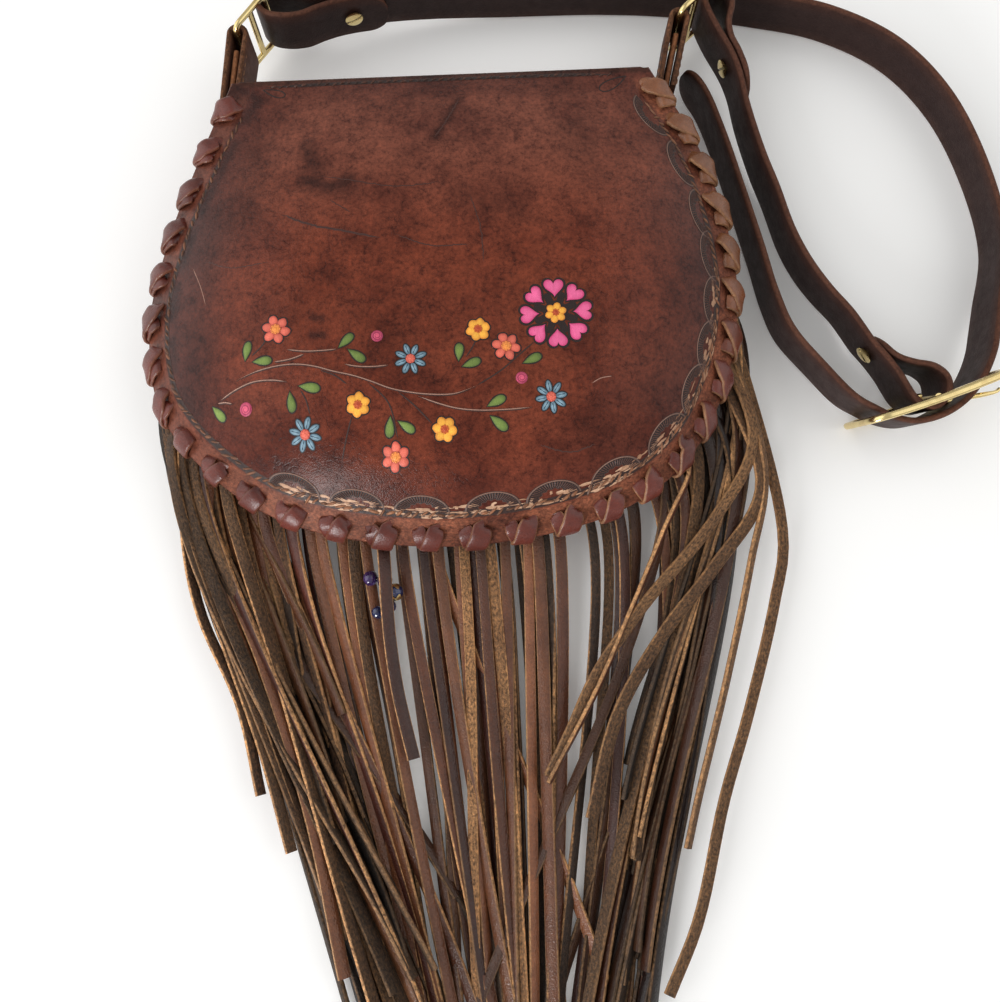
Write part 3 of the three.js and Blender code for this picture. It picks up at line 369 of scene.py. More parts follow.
SHORT_STRAP_BEFORE = [
    (145.6, 108.4, 6.5), (143.9, 116.6, 8.2), (141, 125.6, 9.6), (137.9, 132.8, 10.6), (137.4, 140, 11.6),
    (139.4, 148, 12.5), (139, 155, 12.5), (134.8, 160.5, 12.5), (129, 160.8, 12.5), (125.9, 156, 12.5),
    (127.4, 147.5, 12.5), (131, 138.5, 11.4), (134.6, 131.3, 10.6), (137.9, 124.3, 9.6), (140.8, 115.5, 8.2),
    (143.8, 100.4, 5), (149.6, 77.4, 2), (154.8, 60.9, 0.4), (159.9, 39.7, 0.2), (166, 23.7, 0.2),
    (174.2, 8.8, 0.2), (182.7, -4.2, 1),
]
SHORT_STRAP_IN_BUCKLE = [
    (-12.7, 32.4, 2.8), (-12, 29.2, 3.5), (-11.3, 25.6, 4.4), (-10.6, 21.2, 5.4), (-9.8, 14.8, 6.5),
    (-9.2, 9, 6.5), (-8.2, 3, 6.5), (-5.5, -2, 6.5), (-1.5, -4, 6.5), (3.5, -2.6, 6.5), (8, 2, 6.5),
    (9, 7.5, 6.5), (5.8, 13.2, 6.5), (-1, 17.7, 5.8), (-6, 22, 5.2), (-8, 25.6, 4.4), (-8.7, 29.2, 3.5),
    (-9.4, 32.4, 2.8), (-10, 35.6, 2.2),
]
STRAP_END_ROUND = 11

# Screws: the strap rows before the seat, at its front layer and at its back layer
SCREW_ROWS = {"screw_left": (0, 1, 12), "screw_right": (1, 2, 13), "screw_buckle": (22, 23, 38)}
SCREW_HEAD_RADIUS = 4.2
SCREW_HEAD_HEIGHT = 1.4
SCREW_POST_RADIUS = 2.4
SCREW_SEAT = 0.7
SCREW_RINGS = 22
SCREW_SIDES = 72
SCREW_SLOT = 0.45
SCREW_SLOT_DEPTH = 0.6

# Beads: place, radius and what each is
BEADS = [
    (-36.5, -112, 15.7, 3.4, "purple"), (-30.2, -113.5, 16.9, 3.4, "purple"), (-26, -118.6, 16.6, 3.6, "cap"),
    (-28.6, -124.4, 15.3, 3, "blue"), (-34, -126.6, 13, 2.8, "blue"),
]
BEAD_SIDES = 32
BEAD_BANDS = 20
THREAD_RADIUS = 0.55


def srgb(red, green, blue, nap=0.0):
    """Linear colour of a display colour, with the share of suede nap as its fourth value."""
    part = np.array([red, green, blue]) / 255
    linear = np.where(part <= 0.04045, part / 12.92, ((part + 0.055) / 1.055) ** 2.4)
    return np.append(linear, nap)


# Colours
FLAP_FIELD = srgb(112, 54, 37)
FLAP_UPPER = srgb(118, 68, 54)
FLAP_DARK = srgb(74, 38, 32)
FLAP_BORDER = srgb(126, 75, 55, 0.5)
FLAP_BORDER_LEFT = srgb(108, 62, 48, 0.15)
FLAP_TOP_EDGE = srgb(70, 42, 34, 0.4)
FLAP_UNDER = srgb(122, 86, 58, 0.9)
MARK_DARK = srgb(50, 28, 25)
# Painted shade in the creases; also the darker sides of the scratches
CREASE_SHADE_AND_SCRATCH_SIDE = srgb(84, 44, 34)
LACE_RED = srgb(98, 47, 39)
LACE_TAN = srgb(128, 82, 55)
LACE_EDGE = srgb(148, 108, 76, 0.5)
STITCH_BROWN = srgb(138, 90, 60)
STITCH_DARK = srgb(84, 48, 34)
TORN_GRAIN = srgb(206, 166, 136)
GROOVE = srgb(52, 29, 23)
STAMP_GROOVE = srgb(28, 18, 17)
STAMP_RIDGE = srgb(92, 58, 48)
# Painted highlight on the outer rim of the half-moon stamps
STAMP_RIM_HIGHLIGHT = srgb(164, 124, 108)
OUTLINE = srgb(34, 18, 15)
# Painted highlight along the vine cuts; also the light colour of the scratches
VINE_HIGHLIGHT_AND_SCRATCH = srgb(178, 134, 116)
CORAL = srgb(228, 112, 92)
CORAL_EDGE = srgb(176, 70, 56)
ORANGE = srgb(250, 160, 70)
YELLOW = srgb(246, 178, 66)
YELLOW_EDGE = srgb(206, 122, 36)
RED = srgb(172, 44, 36)
BLUE = srgb(134, 164, 180)
BLUE_EDGE = srgb(60, 88, 106)
PINK = srgb(236, 104, 156)
PINK_EDGE = srgb(196, 58, 112)
ROSE = srgb(214, 88, 116)
ROSE_DARK = srgb(156, 50, 84)
GREEN = srgb(116, 138, 66)
GREEN_EDGE = srgb(76, 96, 42)
BODY = srgb(98, 56, 42)
BODY_EDGE = srgb(140, 92, 60, 0.5)
TAB_FACE = srgb(76, 46, 35, 0.3)
TAB_EDGE = srgb(100, 68, 48, 0.9)
STRAP_FACE = srgb(48, 31, 28)
STRAP_RIM = srgb(90, 58, 45, 0.4)
GRAIN_SIDES = [
    srgb(140, 87, 57), srgb(124, 75, 48), srgb(154, 101, 68), srgb(106, 61, 40), srgb(92, 50, 40),
    srgb(80, 44, 34),
]
FLESH_SIDES = [srgb(118, 85, 54, 1), srgb(104, 74, 47, 1), srgb(130, 95, 62, 1), srgb(92, 64, 42, 1)]
STRIP_EDGE = srgb(214, 162, 110, 0.8)
BRASS = srgb(232, 210, 152)
BEAD_TINTS = {"purple": srgb(70, 44, 104), "blue": srgb(40, 54, 104)}
THREAD = srgb(150, 120, 84, 0.6)
PLAIN_STITCH = srgb(150, 106, 72, 0.4)


TINY = 1e-9


def unit(vectors):
    return vectors / np.maximum(np.linalg.norm(vectors, axis=-1, keepdims=True), TINY)


def smooth(value, low, high):
    share = np.clip((value - low) / (high - low), 0, 1)
    return share * share * (3 - 2 * share)


def between(first, second, share):
    share = np.asarray(share, float)[..., None]
    return first * (1 - share) + second * share


def runs_along(path):
    """Distance along a path from its start to each of its places."""
    return np.concatenate([[0], np.cumsum(np.linalg.norm(np.diff(path, axis=0), axis=1))])


def circle(sides):
    return np.linspace(0, 2 * math.pi, sides, endpoint=False)


def right_of(heading):
    """Plan directions a quarter turn to the right of these."""
    return np.stack([heading[..., 1], -heading[..., 0]], axis=-1)


class Curve:
    """Centripetal Catmull-Rom curve, as in the CAD source, with places found by arc length."""

    def __init__(self, rows, steps=SPAN_STEPS):
        knots = np.array(rows, float)
        ends = (2 * knots[0] - knots[1], 2 * knots[-1] - knots[-2])
        padded = np.vstack([ends[0], knots, ends[1]])
        spans = [self.span(padded[k:k + 4], steps) for k in range(len(knots) - 1)]
        self.points = np.vstack(spans + [knots[-1:]])
        self.runs = runs_along(self.points)
        self.length = self.runs[-1]

    @staticmethod
    def span(four, steps):
        before, start, end, after = four
        gaps = [max(np.linalg.norm(q - p), TINY) ** 0.5 for p, q in zip(four[:-1], four[1:])]
        first, own, last = gaps
        lead = ((start - before) / first - (end - before) / (first + own) + (end - start) / own) * own
        arrive = ((end - start) / own - (after - start) / (own + last) + (after - end) / last) * own
        t = np.linspace(0, 1, steps, endpoint=False)[:, None]
        cubic = 2 * start - 2 * end + lead + arrive
        square = 3 * end - 3 * start - 2 * lead - arrive
        return start + lead * t + square * t ** 2 + cubic * t ** 3

    def at(self, shares):
        runs = np.atleast_1d(shares) * self.length
        return np.stack([np.interp(runs, self.runs, column) for column in self.points.T], axis=1)

    def along(self, shares):
        shares = np.atleast_1d(shares)
        reach = HEADING_REACH / self.length
        return unit(self.at(np.clip(shares + reach, 0, 1)) - self.at(np.clip(shares - reach, 0, 1)))

    def out(self, shares):
        return unit(right_of(self.along(shares)))


flap_edge = Curve(FLAP_EDGE)
gusset_line = Curve(GUSSET_LINE)
outline = flap_edge.at(np.linspace(0, 1, OUTLINE_SAMPLES + 1))


def in_chunks(function, places, size=3000):
    return np.concatenate([function(places[k:k + size]) for k in range(0, len(places), size)])


def inside_flap(places):
    after = np.roll(outline, -1, axis=0)
    x, y = places[:, :1], places[:, 1:2]
    crosses = (outline[:, 1] > y) != (after[:, 1] > y)
    rise = after[:, 1] - outline[:, 1]
    rise = np.where(rise == 0, 1, rise)
    hit = x < outline[:, 0] + (y - outline[:, 1]) * (after[:, 0] - outline[:, 0]) / rise
    return (crosses & hit).sum(axis=1) % 2 == 1


def line_distance(places, line):
    """Plan distance from each place to a row of points."""
    start, run = line[:-1], np.diff(line, axis=0)

    def nearest(some):
        offset = some[:, None, :] - start
        along = np.clip((offset * run).sum(2) / (run * run).sum(1), 0, 1)
        gap = offset - along[..., None] * run
        return np.sqrt((gap ** 2).sum(2)).min(1)

    return in_chunks(nearest, places)


def edge_distance(places):
    return np.where(in_chunks(inside_flap, places), line_distance(places, outline), 0)


def flap_height(places):
    y = places[:, 1]
    rise = np.clip((y - EDGE_LOW_Y) / (FLAP_TOP_Y - EDGE_LOW_Y), 0, 1)
    edge = EDGE_LOW_Z + (EDGE_HIGH_Z - EDGE_LOW_Z) * rise ** 2
    fall = np.clip((y - CROWN_START_Y) / (FLAP_TOP_Y - CROWN_START_Y), 0, 1)
    crown = CROWN_Z - (CROWN_Z - EDGE_HIGH_Z) * fall ** CROWN_POWER
    share = np.minimum(edge_distance(places) / SHOULDER_WIDTH, 1)
    return edge + (crown - edge) * (1 - (1 - share) ** SHOULDER_POWER)


def flap_normal(places):
    """Upward normal of the flap's face, taken a little inside the edge."""
    away = np.maximum(np.linalg.norm(places, axis=1), 1e-6)
    reach = np.where(edge_distance(places) < NORMAL_PROBE, 1 - 2 * NORMAL_PROBE / away, 1)
    probe = places * reach[:, None]
    step_x, step_y = np.array([NORMAL_PROBE, 0]), np.array([0, NORMAL_PROBE])
    slope_x = (flap_height(probe + step_x) - flap_height(probe - step_x)) / (2 * NORMAL_PROBE)
    slope_y = (flap_height(probe + step_y) - flap_height(probe - step_y)) / (2 * NORMAL_PROBE)
    return unit(np.column_stack([-slope_x, -slope_y, np.ones(len(places))]))


def on_flap(places, lift=0.0):
    """Places in plan carried up to the flap's face and lifted off it along its normal."""
    lift = np.broadcast_to(np.asarray(lift, float), len(places))
    return np.column_stack([places, flap_height(places)]) + flap_normal(places) * lift[:, None]


# Camera axes, and the flap's place behind a pixel
SIGHT_RIGHT = np.array([math.cos(TURN), -math.sin(TURN), 0])
SIGHT_AHEAD = np.array([math.sin(TURN) * math.sin(TILT), math.cos(TURN) * math.sin(TILT), -math.cos(TILT)])
SIGHT_UP = np.cross(SIGHT_RIGHT, SIGHT_AHEAD)


def sight_lines(rows):
    """Directions from the camera through these pixels of the photograph."""
    rows = np.atleast_2d(np.array(rows, float))
    across = ((rows[:, :1] - PRINCIPAL_U) / FOCAL_PX) * SIGHT_RIGHT
    return SIGHT_AHEAD + across + ((PRINCIPAL_V - rows[:, 1:]) / FOCAL_PX) * SIGHT_UP


def seen_at(sight, height):
    return EYE[:2] + sight[:, :2] * ((height - EYE[2]) / sight[:, 2])[:, None]


def from_pixels(rows):
    """Plan places on the flap's face that the photograph shows at these pixels."""
    sight, height = sight_lines(rows), float(SIGHT_START_Z)
    for _ in range(SIGHT_STEPS):
        places = seen_at(sight, height)
        height = flap_height(places)
    return places


def level_pixels(rows, height):
    """Plan places at one height that the photograph shows at these pixels."""
    return seen_at(sight_lines(rows), height)


def pixel_size(pixel):
    """Millimetres that one pixel spans on the flap there."""
    span = np.array([PIXEL_PROBE, 0])
    ends = from_pixels([pixel - span, pixel + span])
    return np.linalg.norm(ends[1] - ends[0]) / (2 * PIXEL_PROBE)


class Piece:
    """One visible piece: points, faces and tints gathered from many parts."""

    def __init__(self, name, material, slot, *nodes):
        self.name, self.material, self.slot, self.nodes = name, material, slot, nodes
        self.points, self.tints, self.lays, self.faces = [], [], [], []
        self.count = 0

    def add(self, points, tints, lays=None):
        points = np.asarray(points, float).reshape(-1, 3)
        first = self.count
        self.points.append(points)
        self.tints.append(np.broadcast_to(tints, (len(points), 4)))
        self.lays.append(points if lays is None else np.asarray(lays, float).reshape(-1, 3))
        self.count += len(points)
        return first

    def grid(self, places, tint, ring=False, loop=False, caps=False, lays=None):
        """Sheet of quads over rows and columns of places; ring closes the columns, loop the rows."""
        rows, columns = places.shape[:2]
        tints = np.broadcast_to(tint, (rows, columns, 4)).reshape(-1, 4)
        first = self.add(places, tints, lays)
        index = first + np.arange(rows * columns).reshape(rows, columns)
        if ring:
            index = np.hstack([index, index[:, :1]])
        if loop:
            index = np.vstack([index, index[:1]])
        quads = np.stack([index[:-1, :-1], index[1:, :-1], index[1:, 1:], index[:-1, 1:]], axis=-1)
        self.faces += quads.reshape(-1, 4).tolist()
        if caps:
            by_row = tints.reshape(rows, columns, 4)
            for end in (0, rows - 1):
                middle = self.add(places[end].mean(axis=0)[None], by_row[end].mean(axis=0))
                circle = index[end].tolist()
                self.faces += [[circle[k], circle[k + 1], middle] for k in range(len(circle) - 1)]

    def build(self):
        mesh = bpy.data.meshes.new(self.name)
        mesh.from_pydata((np.vstack(self.points) * MM).tolist(), [], self.faces)
        tint = mesh.attributes.new("tint", "FLOAT_COLOR", "POINT")
        tint.data.foreach_set("color", np.vstack(self.tints).astype(np.float32).ravel())
        lay = mesh.attributes.new("lay", "FLOAT_VECTOR", "POINT")
        lay.data.foreach_set("vector", (np.vstack(self.lays) * MM).astype(np.float32).ravel())
        mesh.materials.append(self.material)
        mesh.validate()
        mesh.shade_smooth()
        mesh.set_sharp_from_angle(angle=SHARP_ANGLE)
        made = bpy.data.objects.new(self.name, mesh)
        bpy.context.scene.collection.objects.link(made)
        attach(made, "root")
        if self.nodes:
            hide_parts(*self.nodes)
        return made


class Shade:
    """One procedural material and short ways to add nodes to it."""

    def __init__(self, name, constants):
        self.material = bpy.data.materials.new(name)
        self.material.use_nodes = True
        self.tree = self.material.node_tree
        self.surface = self.tree.nodes["Principled BSDF"]
        for socket, value in constants.items():
            self.surface.inputs[socket].default_value = value
        self.coords = self.node("TexCoord", {}, out="Object")

    def feed(self, socket, value):
        if isinstance(value, bpy.types.NodeSocket):
            self.tree.links.new(value, socket)
        else:
            socket.default_value = value

    def node(self, kind, sockets, out=0, **settings):
        made = self.tree.nodes.new("ShaderNode" + kind)
        for name, value in settings.items():
            setattr(made, name, value)
        for name, value in sockets.items():
            self.feed(made.inputs[name], value)
        return made.outputs[out]

    def attribute(self, name, out):
        return self.node("Attribute", {}, out=out, attribute_name=name)

    def stretched(self, vector, scale):
        return self.node("Mapping", {"Vector": vector, "Scale": scale})

    def noise(self, vector, scale, detail=4.0, roughness=0.6):
        sockets = {"Vector": vector, "Scale": scale, "Detail": detail, "Roughness": roughness}
        return self.node("TexNoise", sockets)

    def cells(self, vector, scale):
        return self.node("TexVoronoi", {"Vector": vector, "Scale": scale})

    def span(self, value, low, high, to_low=0.0, to_high=1.0):
        sockets = {"Value": value, "From Min": low, "From Max": high, "To Min": to_low, "To Max": to_high}
        return self.node("MapRange", sockets)

    def sum(self, first, second, operation="ADD"):
        return self.node("Math", {0: first, 1: second}, operation=operation)

    def times(self, first, second):
        return self.sum(first, second, "MULTIPLY")

    def tone(self, share, colour, tone):
        return self.mix(share, colour, tone, "MULTIPLY")

    def mix(self, share, first, second, blend="MIX"):
        return self.node("Mix", {0: share, 6: first, 7: second}, out=2, data_type="RGBA", blend_type=blend)

    def bump(self, height, distance, strength=1.0):
        self.feed(self.surface.inputs["Normal"], self.node(
            "Bump", {"Height": height, "Distance": distance, "Strength": strength}))

    def use(self, socket, value):
        self.feed(self.surface.inputs[socket], value)


SHADOW_TONE = (0.42, 0.36, 0.4, 1)
LIGHT_TONE = (1.5, 1.42, 1.36, 1)
SUEDE_DARK = (0.3, 0.27, 0.25, 1)
SUEDE_LIGHT = (1.75, 1.62, 1.45, 1)
BRUSH_TONE = (0.62, 0.56, 0.54, 1)
WEAR_TONE = (1.3, 1.26, 1.22, 1)
DULL_BRASS = (0.62, 0.5, 0.34, 1)
SWIRL_DARK = (0.3, 0.3, 0.42, 1)
SWIRL_LIGHT = (0.5, 0.46, 0.78, 1)
TABLE_WHITES = ((0.95, 0.95, 0.95, 1), (0.97, 0.97, 0.97, 1))
NAP_ROUGHNESS = 0.45
NAP_DEPTH = 2.2
PORE_DEPTH = 0.5
WRINKLE_CELLS = 75.0
HAIR_CELLS = 330.0
WARP_SCALE = 60.0
WARP_SHARE = 0.009
LINE_WEIGHT = 0.3
HAIR_WEIGHT = 0.45


def leather(name, cloud, mottle, grain, depth, rough, gloss, wrinkle=0.0):
    """Leather tinted point by point: clouds, scuffs, pores, wrinkles and a rough speckle where nap shows."""
    shade = Shade(name, {"Coat Weight": 0.0, "Specular IOR Level": gloss})
    coords, lay = shade.coords, shade.attribute("lay", "Vector")
    tint, nap = shade.attribute("tint", "Color"), shade.attribute("tint", "Alpha")
    clouds = shade.noise(coords, cloud, 8.0, 0.68)
    mist = shade.noise(coords, cloud * 5, 6.0, 0.7)
    scuff = shade.noise(shade.stretched(coords, (1.0, 0.16, 1.0)), cloud * 22, 3.0, 0.5)
    fleck = shade.noise(coords, cloud * 20, 5.0, 0.75)
    fibre = shade.noise(shade.stretched(lay, (0.6, 1.0, 1.0)), grain * 0.8, 4.0, 0.65)
    colour = tint
    for pattern, low, high, amount, tone in (
            (clouds, 0.44, 0.7, 1.0, SHADOW_TONE), (mist, 0.5, 0.76, 0.6, SHADOW_TONE),
            (mist, 0.5, 0.28, 0.5, LIGHT_TONE), (scuff, 0.6, 0.8, 0.6, LIGHT_TONE),
            (fleck, 0.5, 0.7, 0.7, SHADOW_TONE), (fleck, 0.48, 0.3, 0.5, LIGHT_TONE)):
        colour = shade.tone(shade.span(pattern, low, high, 0.0, mottle * amount), colour, tone)
    tooth = shade.sum(shade.times(shade.cells(coords, grain), PORE_DEPTH), mist)
    if wrinkle:
        warp = shade.node("TexNoise", {"Vector": coords, "Scale": WARP_SCALE, "Detail": 3.0}, out=1)
        warped = shade.mix(WARP_SHARE, coords, warp, "LINEAR_LIGHT")
        veins, fine = (
            shade.node("TexVoronoi", {"Vector": warped, "Scale": scale}, feature="DISTANCE_TO_EDGE")
            for scale in (WRINKLE_CELLS, HAIR_CELLS))
        lines = shade.times(shade.span(veins, 0.05, 0.0), shade.span(clouds, 0.42, 0.6))
        hairs = shade.times(shade.span(fine, 0.12, 0.0), shade.span(mist, 0.45, 0.62))
        both = shade.sum(shade.times(lines, LINE_WEIGHT), shade.times(hairs, HAIR_WEIGHT))
        colour = shade.tone(shade.times(both, wrinkle), colour, SHADOW_TONE)
        tooth = shade.sum(tooth, both, "SUBTRACT")
    colour = shade.tone(shade.times(nap, shade.span(fibre, 0.5, 0.64)), colour, SUEDE_DARK)
    colour = shade.tone(shade.times(nap, shade.span(fibre, 0.48, 0.36)), colour, SUEDE_LIGHT)
    shade.use("Base Color", colour)
    worn = shade.span(mist, 0.35, 0.7, *rough)
    shade.use("Roughness", shade.sum(worn, shade.times(nap, NAP_ROUGHNESS)))
    shade.bump(shade.sum(tooth, shade.times(shade.times(fibre, nap), NAP_DEPTH)), depth)
    return shade.material


def paint(name):
    """Acrylic paint and cut lines on the flap: tinted, a little uneven, with brush marks and wear."""
    shade = Shade(name, {"Specular IOR Level": 0.4})
    tint = shade.attribute("tint", "Color")
    brush = shade.noise(shade.stretched(shade.coords, (1.0, 0.4, 1.0)), 900.0, 4.0, 0.6)
    wear = shade.noise(shade.coords, 420.0, 3.0, 0.6)
    colour = shade.tone(shade.span(brush, 0.5, 0.75, 0.0, 0.45), tint, BRUSH_TONE)
    colour = shade.tone(shade.span(wear, 0.5, 0.3, 0.0, 0.4), colour, WEAR_TONE)
    shade.use("Base Color", colour)
    shade.use("Roughness", shade.span(brush, 0.3, 0.7, 0.4, 0.66))
    shade.bump(brush, 0.0002)
    return shade.material


def metal(name):
    """Polished pale brass with fine scratches and dulled patches."""
    shade = Shade(name, {"Metallic": 1.0})
    tint = shade.attribute("tint", "Color")
    cloud = shade.noise(shade.coords, 120.0, 4.0, 0.6)
    hair = shade.noise(shade.stretched(shade.coords, (0.2, 1.0, 1.0)), 2600.0, 3.0, 0.6)
    shade.use("Base Color", shade.tone(shade.span(cloud, 0.48, 0.75, 0.0, 0.6), tint, DULL_BRASS))
    shade.use("Roughness", shade.span(cloud, 0.3, 0.75, 0.14, 0.34))
    shade.bump(hair, 0.00003)
    return shade.material


def glass(name):
    """Coloured glass of the beads, with a swirl in it."""
    shade = Shade(name, {"Transmission Weight": 0.35, "IOR": 1.5, "Coat Weight": 0.6, "Coat Roughness": 0.05})
    tint = shade.attribute("tint", "Color")
    swirl = shade.noise(shade.stretched(shade.coords, (1.0, 1.0, 0.3)), 420.0, 4.0, 0.6)
    colour = shade.tone(shade.span(swirl, 0.4, 0.62), tint, SWIRL_DARK)
    colour = shade.mix(shade.span(swirl, 0.62, 0.74, 0.0, 0.7), colour, SWIRL_LIGHT)
    shade.use("Base Color", colour)
    shade.use("Roughness", shade.span(swirl, 0.3, 0.7, 0.06, 0.16))
    shade.bump(swirl, 0.00006)
    return shade.material


def backdrop(name):
    """Matt white table top, barely uneven."""
    shade = Shade(name, {"Specular IOR Level": 0.2, "Emission Strength": 0.08})
    cloud = shade.noise(shade.coords, 7.0, 3.0, 0.5)
    shade.use("Base Color", shade.mix(shade.span(cloud, 0.3, 0.7), *TABLE_WHITES))
    shade.use("Roughness", shade.span(cloud, 0.3, 0.7, 0.6, 0.75))
    return shade.material


# Leathers: clouds per metre, mottling, pores per metre, grain depth in metres, roughness, gloss and wrinkling
LEATHERS = {
    "flap": (30.0, 1.0, 1500.0, 0.0001, (0.22, 0.34), 0.16, 1.4),
    "body": (30.0, 0.6, 1300.0, 0.0002, (0.5, 0.66), 0.25, 0.0),
    "lace": (90.0, 0.6, 1500.0, 0.00012, (0.24, 0.38), 0.42, 0.0),
    "fringe": (40.0, 0.6, 1300.0, 0.0004, (0.3, 0.46), 0.5, 0.0),
    "strap": (36.0, 0.5, 1500.0, 0.00014, (0.42, 0.58), 0.14, 0.0),
}
MATERIALS = {name: leather(name + "_leather", *row) for name, row in LEATHERS.items()}
MATERIALS.update(paint=paint("tooling_paint"), brass=metal("brass"), glass=glass("bead_glass"))


def box_section(width, height, radius, steps=4):
    """Outline of a rounded box as offsets across and up."""
    corners = [(1, 1), (-1, 1), (-1, -1), (1, -1)]
    points = []
    for quarter, (across, up) in enumerate(corners):
        for step in range(steps + 1):
            angle = (quarter + step / steps) * math.pi / 2
            points.append((
                across * (width / 2 - radius) + radius * math.cos(angle),
                up * (height / 2 - radius) + radius * math.sin(angle),
            ))
    return np.array(points)


def oval_section(width, height, sides, power=0.8):
    angle = circle(sides)
    across = np.sign(np.cos(angle)) * np.abs(np.cos(angle)) ** power
    up = np.sign(np.sin(angle)) * np.abs(np.sin(angle)) ** power
    return np.column_stack([across * width / 2, up * height / 2])


def headings(path, loop=False):
    if loop:
        return unit(np.roll(path, -1, axis=0) - np.roll(path, 1, axis=0))
    return unit(np.gradient(path, axis=0))


def sweep(piece, path, side, up, section, tint, loop=False, taper=None, seed=0.0, shape=None):
    """Body with a section carried along a path, side and up giving the section's axes at each place."""
    size = np.ones((len(path), 2)) if taper is None else taper
    across = section[None, :, 0] * size[:, :1]
    rise = section[None, :, 1] * size[:, 1:]
    places = path[:, None, :] + across[..., None] * side[:, None, :] + rise[..., None] * up[:, None, :]
    if shape is not None:
        places = shape(places)
    run = runs_along(path)
    lays = np.stack(np.broadcast_arrays(run[:, None] + seed, across, rise + seed), axis=-1)
    piece.grid(places, tint, ring=True, loop=loop, caps=not loop, lays=lays)


def framed(path, reference, loop=False):
    """Side and up vectors along a path that keep close to a reference direction."""
    heading = headings(path, loop)
    side = unit(np.cross(heading, np.broadcast_to(reference, path.shape)))
    return side, np.cross(side, heading)


def rod(piece, path, reference, section, tint, loop=False, **settings):
    """Body swept along a path, its section kept close to a reference direction."""
    side, up = framed(path, reference, loop)
    sweep(piece, path, side, up, section, tint, loop=loop, **settings)


def standing(piece, plan, across, half, low, high, face, edge, shape=None, seed=0.0):
    """Strip that stands on its edge, with rounded edges of their own tint."""
    turn = np.linspace(0, math.pi, RIM_STEPS + 1)[1:-1]
    rise = np.linspace(0, 1, FACE_STEPS + 1)
    zeros, ones = np.zeros(len(turn)), np.ones(len(turn))
    offset = np.concatenate([np.ones(len(rise)), np.cos(turn), -np.ones(len(rise)), -np.cos(turn)]) * half
    from_low = np.concatenate([1 - rise, zeros, rise, ones])
    from_radius = np.concatenate([1 - 2 * rise, np.sin(turn) - 1, 2 * rise - 1, 1 - np.sin(turn)]) * half
    low, high = (np.broadcast_to(np.asarray(v, float), len(plan)) for v in (low, high))
    height = low[:, None] * from_low + high[:, None] * (1 - from_low) + from_radius
    beside = plan[:, None, :] + offset[None, :, None] * across[:, None, :]
    places = np.concatenate([beside, height[..., None]], axis=2)
    if shape is not None:
        places = shape(places)
    burnish = np.where((rise == 0) | (rise == 1), RIM_BURNISH, 0)
    worn = np.concatenate([burnish, np.sin(turn) ** 0.5, burnish, np.sin(turn) ** 0.5])
    run = runs_along(plan)
    lays = np.stack(np.broadcast_arrays(run[:, None] + seed, height, offset[None, :] + seed), axis=-1)
    piece.grid(places, between(face, edge, worn)[None], ring=True, caps=True, lays=lays)


def patch(piece, outline_rows, height, edge_tint, middle_tint, lift=0.03, rings=4, power=2.0):
    """Low domed patch on the flap inside a closed outline in plan."""
    outline_rows = np.asarray(outline_rows, float)
    middle = outline_rows.mean(axis=0)
    shares = np.linspace(1, 0, rings + 1)[:-1]
    rows = [middle + (outline_rows - middle) * share for share in shares]
    lifts = [np.full(len(outline_rows), lift + height * (1 - share ** power)) for share in shares]
    tints = [np.broadcast_to(between(middle_tint, edge_tint, share ** power), (len(outline_rows), 4))
             for share in shares]
    flat = on_flap(np.vstack(rows), np.concatenate(lifts)).reshape(len(shares), -1, 3)
    first = piece.count
    piece.grid(flat, np.stack(tints), ring=True)
    centre = piece.add(on_flap(middle[None], lift + height), middle_tint)
    last = first + (len(shares) - 1) * len(outline_rows)
    sides = len(outline_rows)
    piece.faces += [[last + k, last + (k + 1) % sides, centre] for k in range(sides)]


def ribbon(piece, line, width, height, edge_tint, middle_tint, lift=0.03):
    """Narrow raised line on the flap along places in plan; its ends taper."""
    line = np.asarray(line, float)
    heading = headings(line)
    side = right_of(heading)
    share = np.linspace(0, 1, len(line))
    taper = np.clip(np.minimum(share, 1 - share) * RIBBON_ENDS, RIBBON_TIP, 1) * width / 2
    offsets = np.array([-1, -0.5, 0, 0.5, 1])
    plan = line[:, None, :] + offsets[None, :, None] * taper[:, None, None] * side[:, None, :]
    lifts = lift + height * (1 - offsets ** 2)
    flat = on_flap(plan.reshape(-1, 2), np.tile(lifts, len(line))).reshape(len(line), len(offsets), 3)
    piece.grid(flat, between(middle_tint, edge_tint, np.abs(offsets))[None])


def oval(middle, long_axis, length, width, sides=14):
    angle = circle(sides)
    along, across = np.cos(angle) * length / 2, np.sin(angle) * width / 2
    return middle + np.outer(along, long_axis) + np.outer(across, -right_of(long_axis))


def heading_at(angle):
    return np.array([math.cos(angle), math.sin(angle)])


# Flap
def sheet_columns(top_left, top_right, edge, columns, rows):
    """Plan places of a sheet that hangs from a straight top line and ends on a curved edge."""
    shares = np.linspace(0, 1, columns + 1)
    side = 2 * shares - 1
    spread = 0.5 + 0.5 * np.sign(side) * np.abs(side) ** COLUMN_EASE
    top = between(np.array(top_left, float), np.array(top_right, float), spread)
    low = edge(shares)
    fall = 1 - (1 - np.linspace(0, 1, rows + 1)) ** ROW_EASE
    return top[:, None, :] * (1 - fall[None, :, None]) + low[:, None, :] * fall[None, :, None]


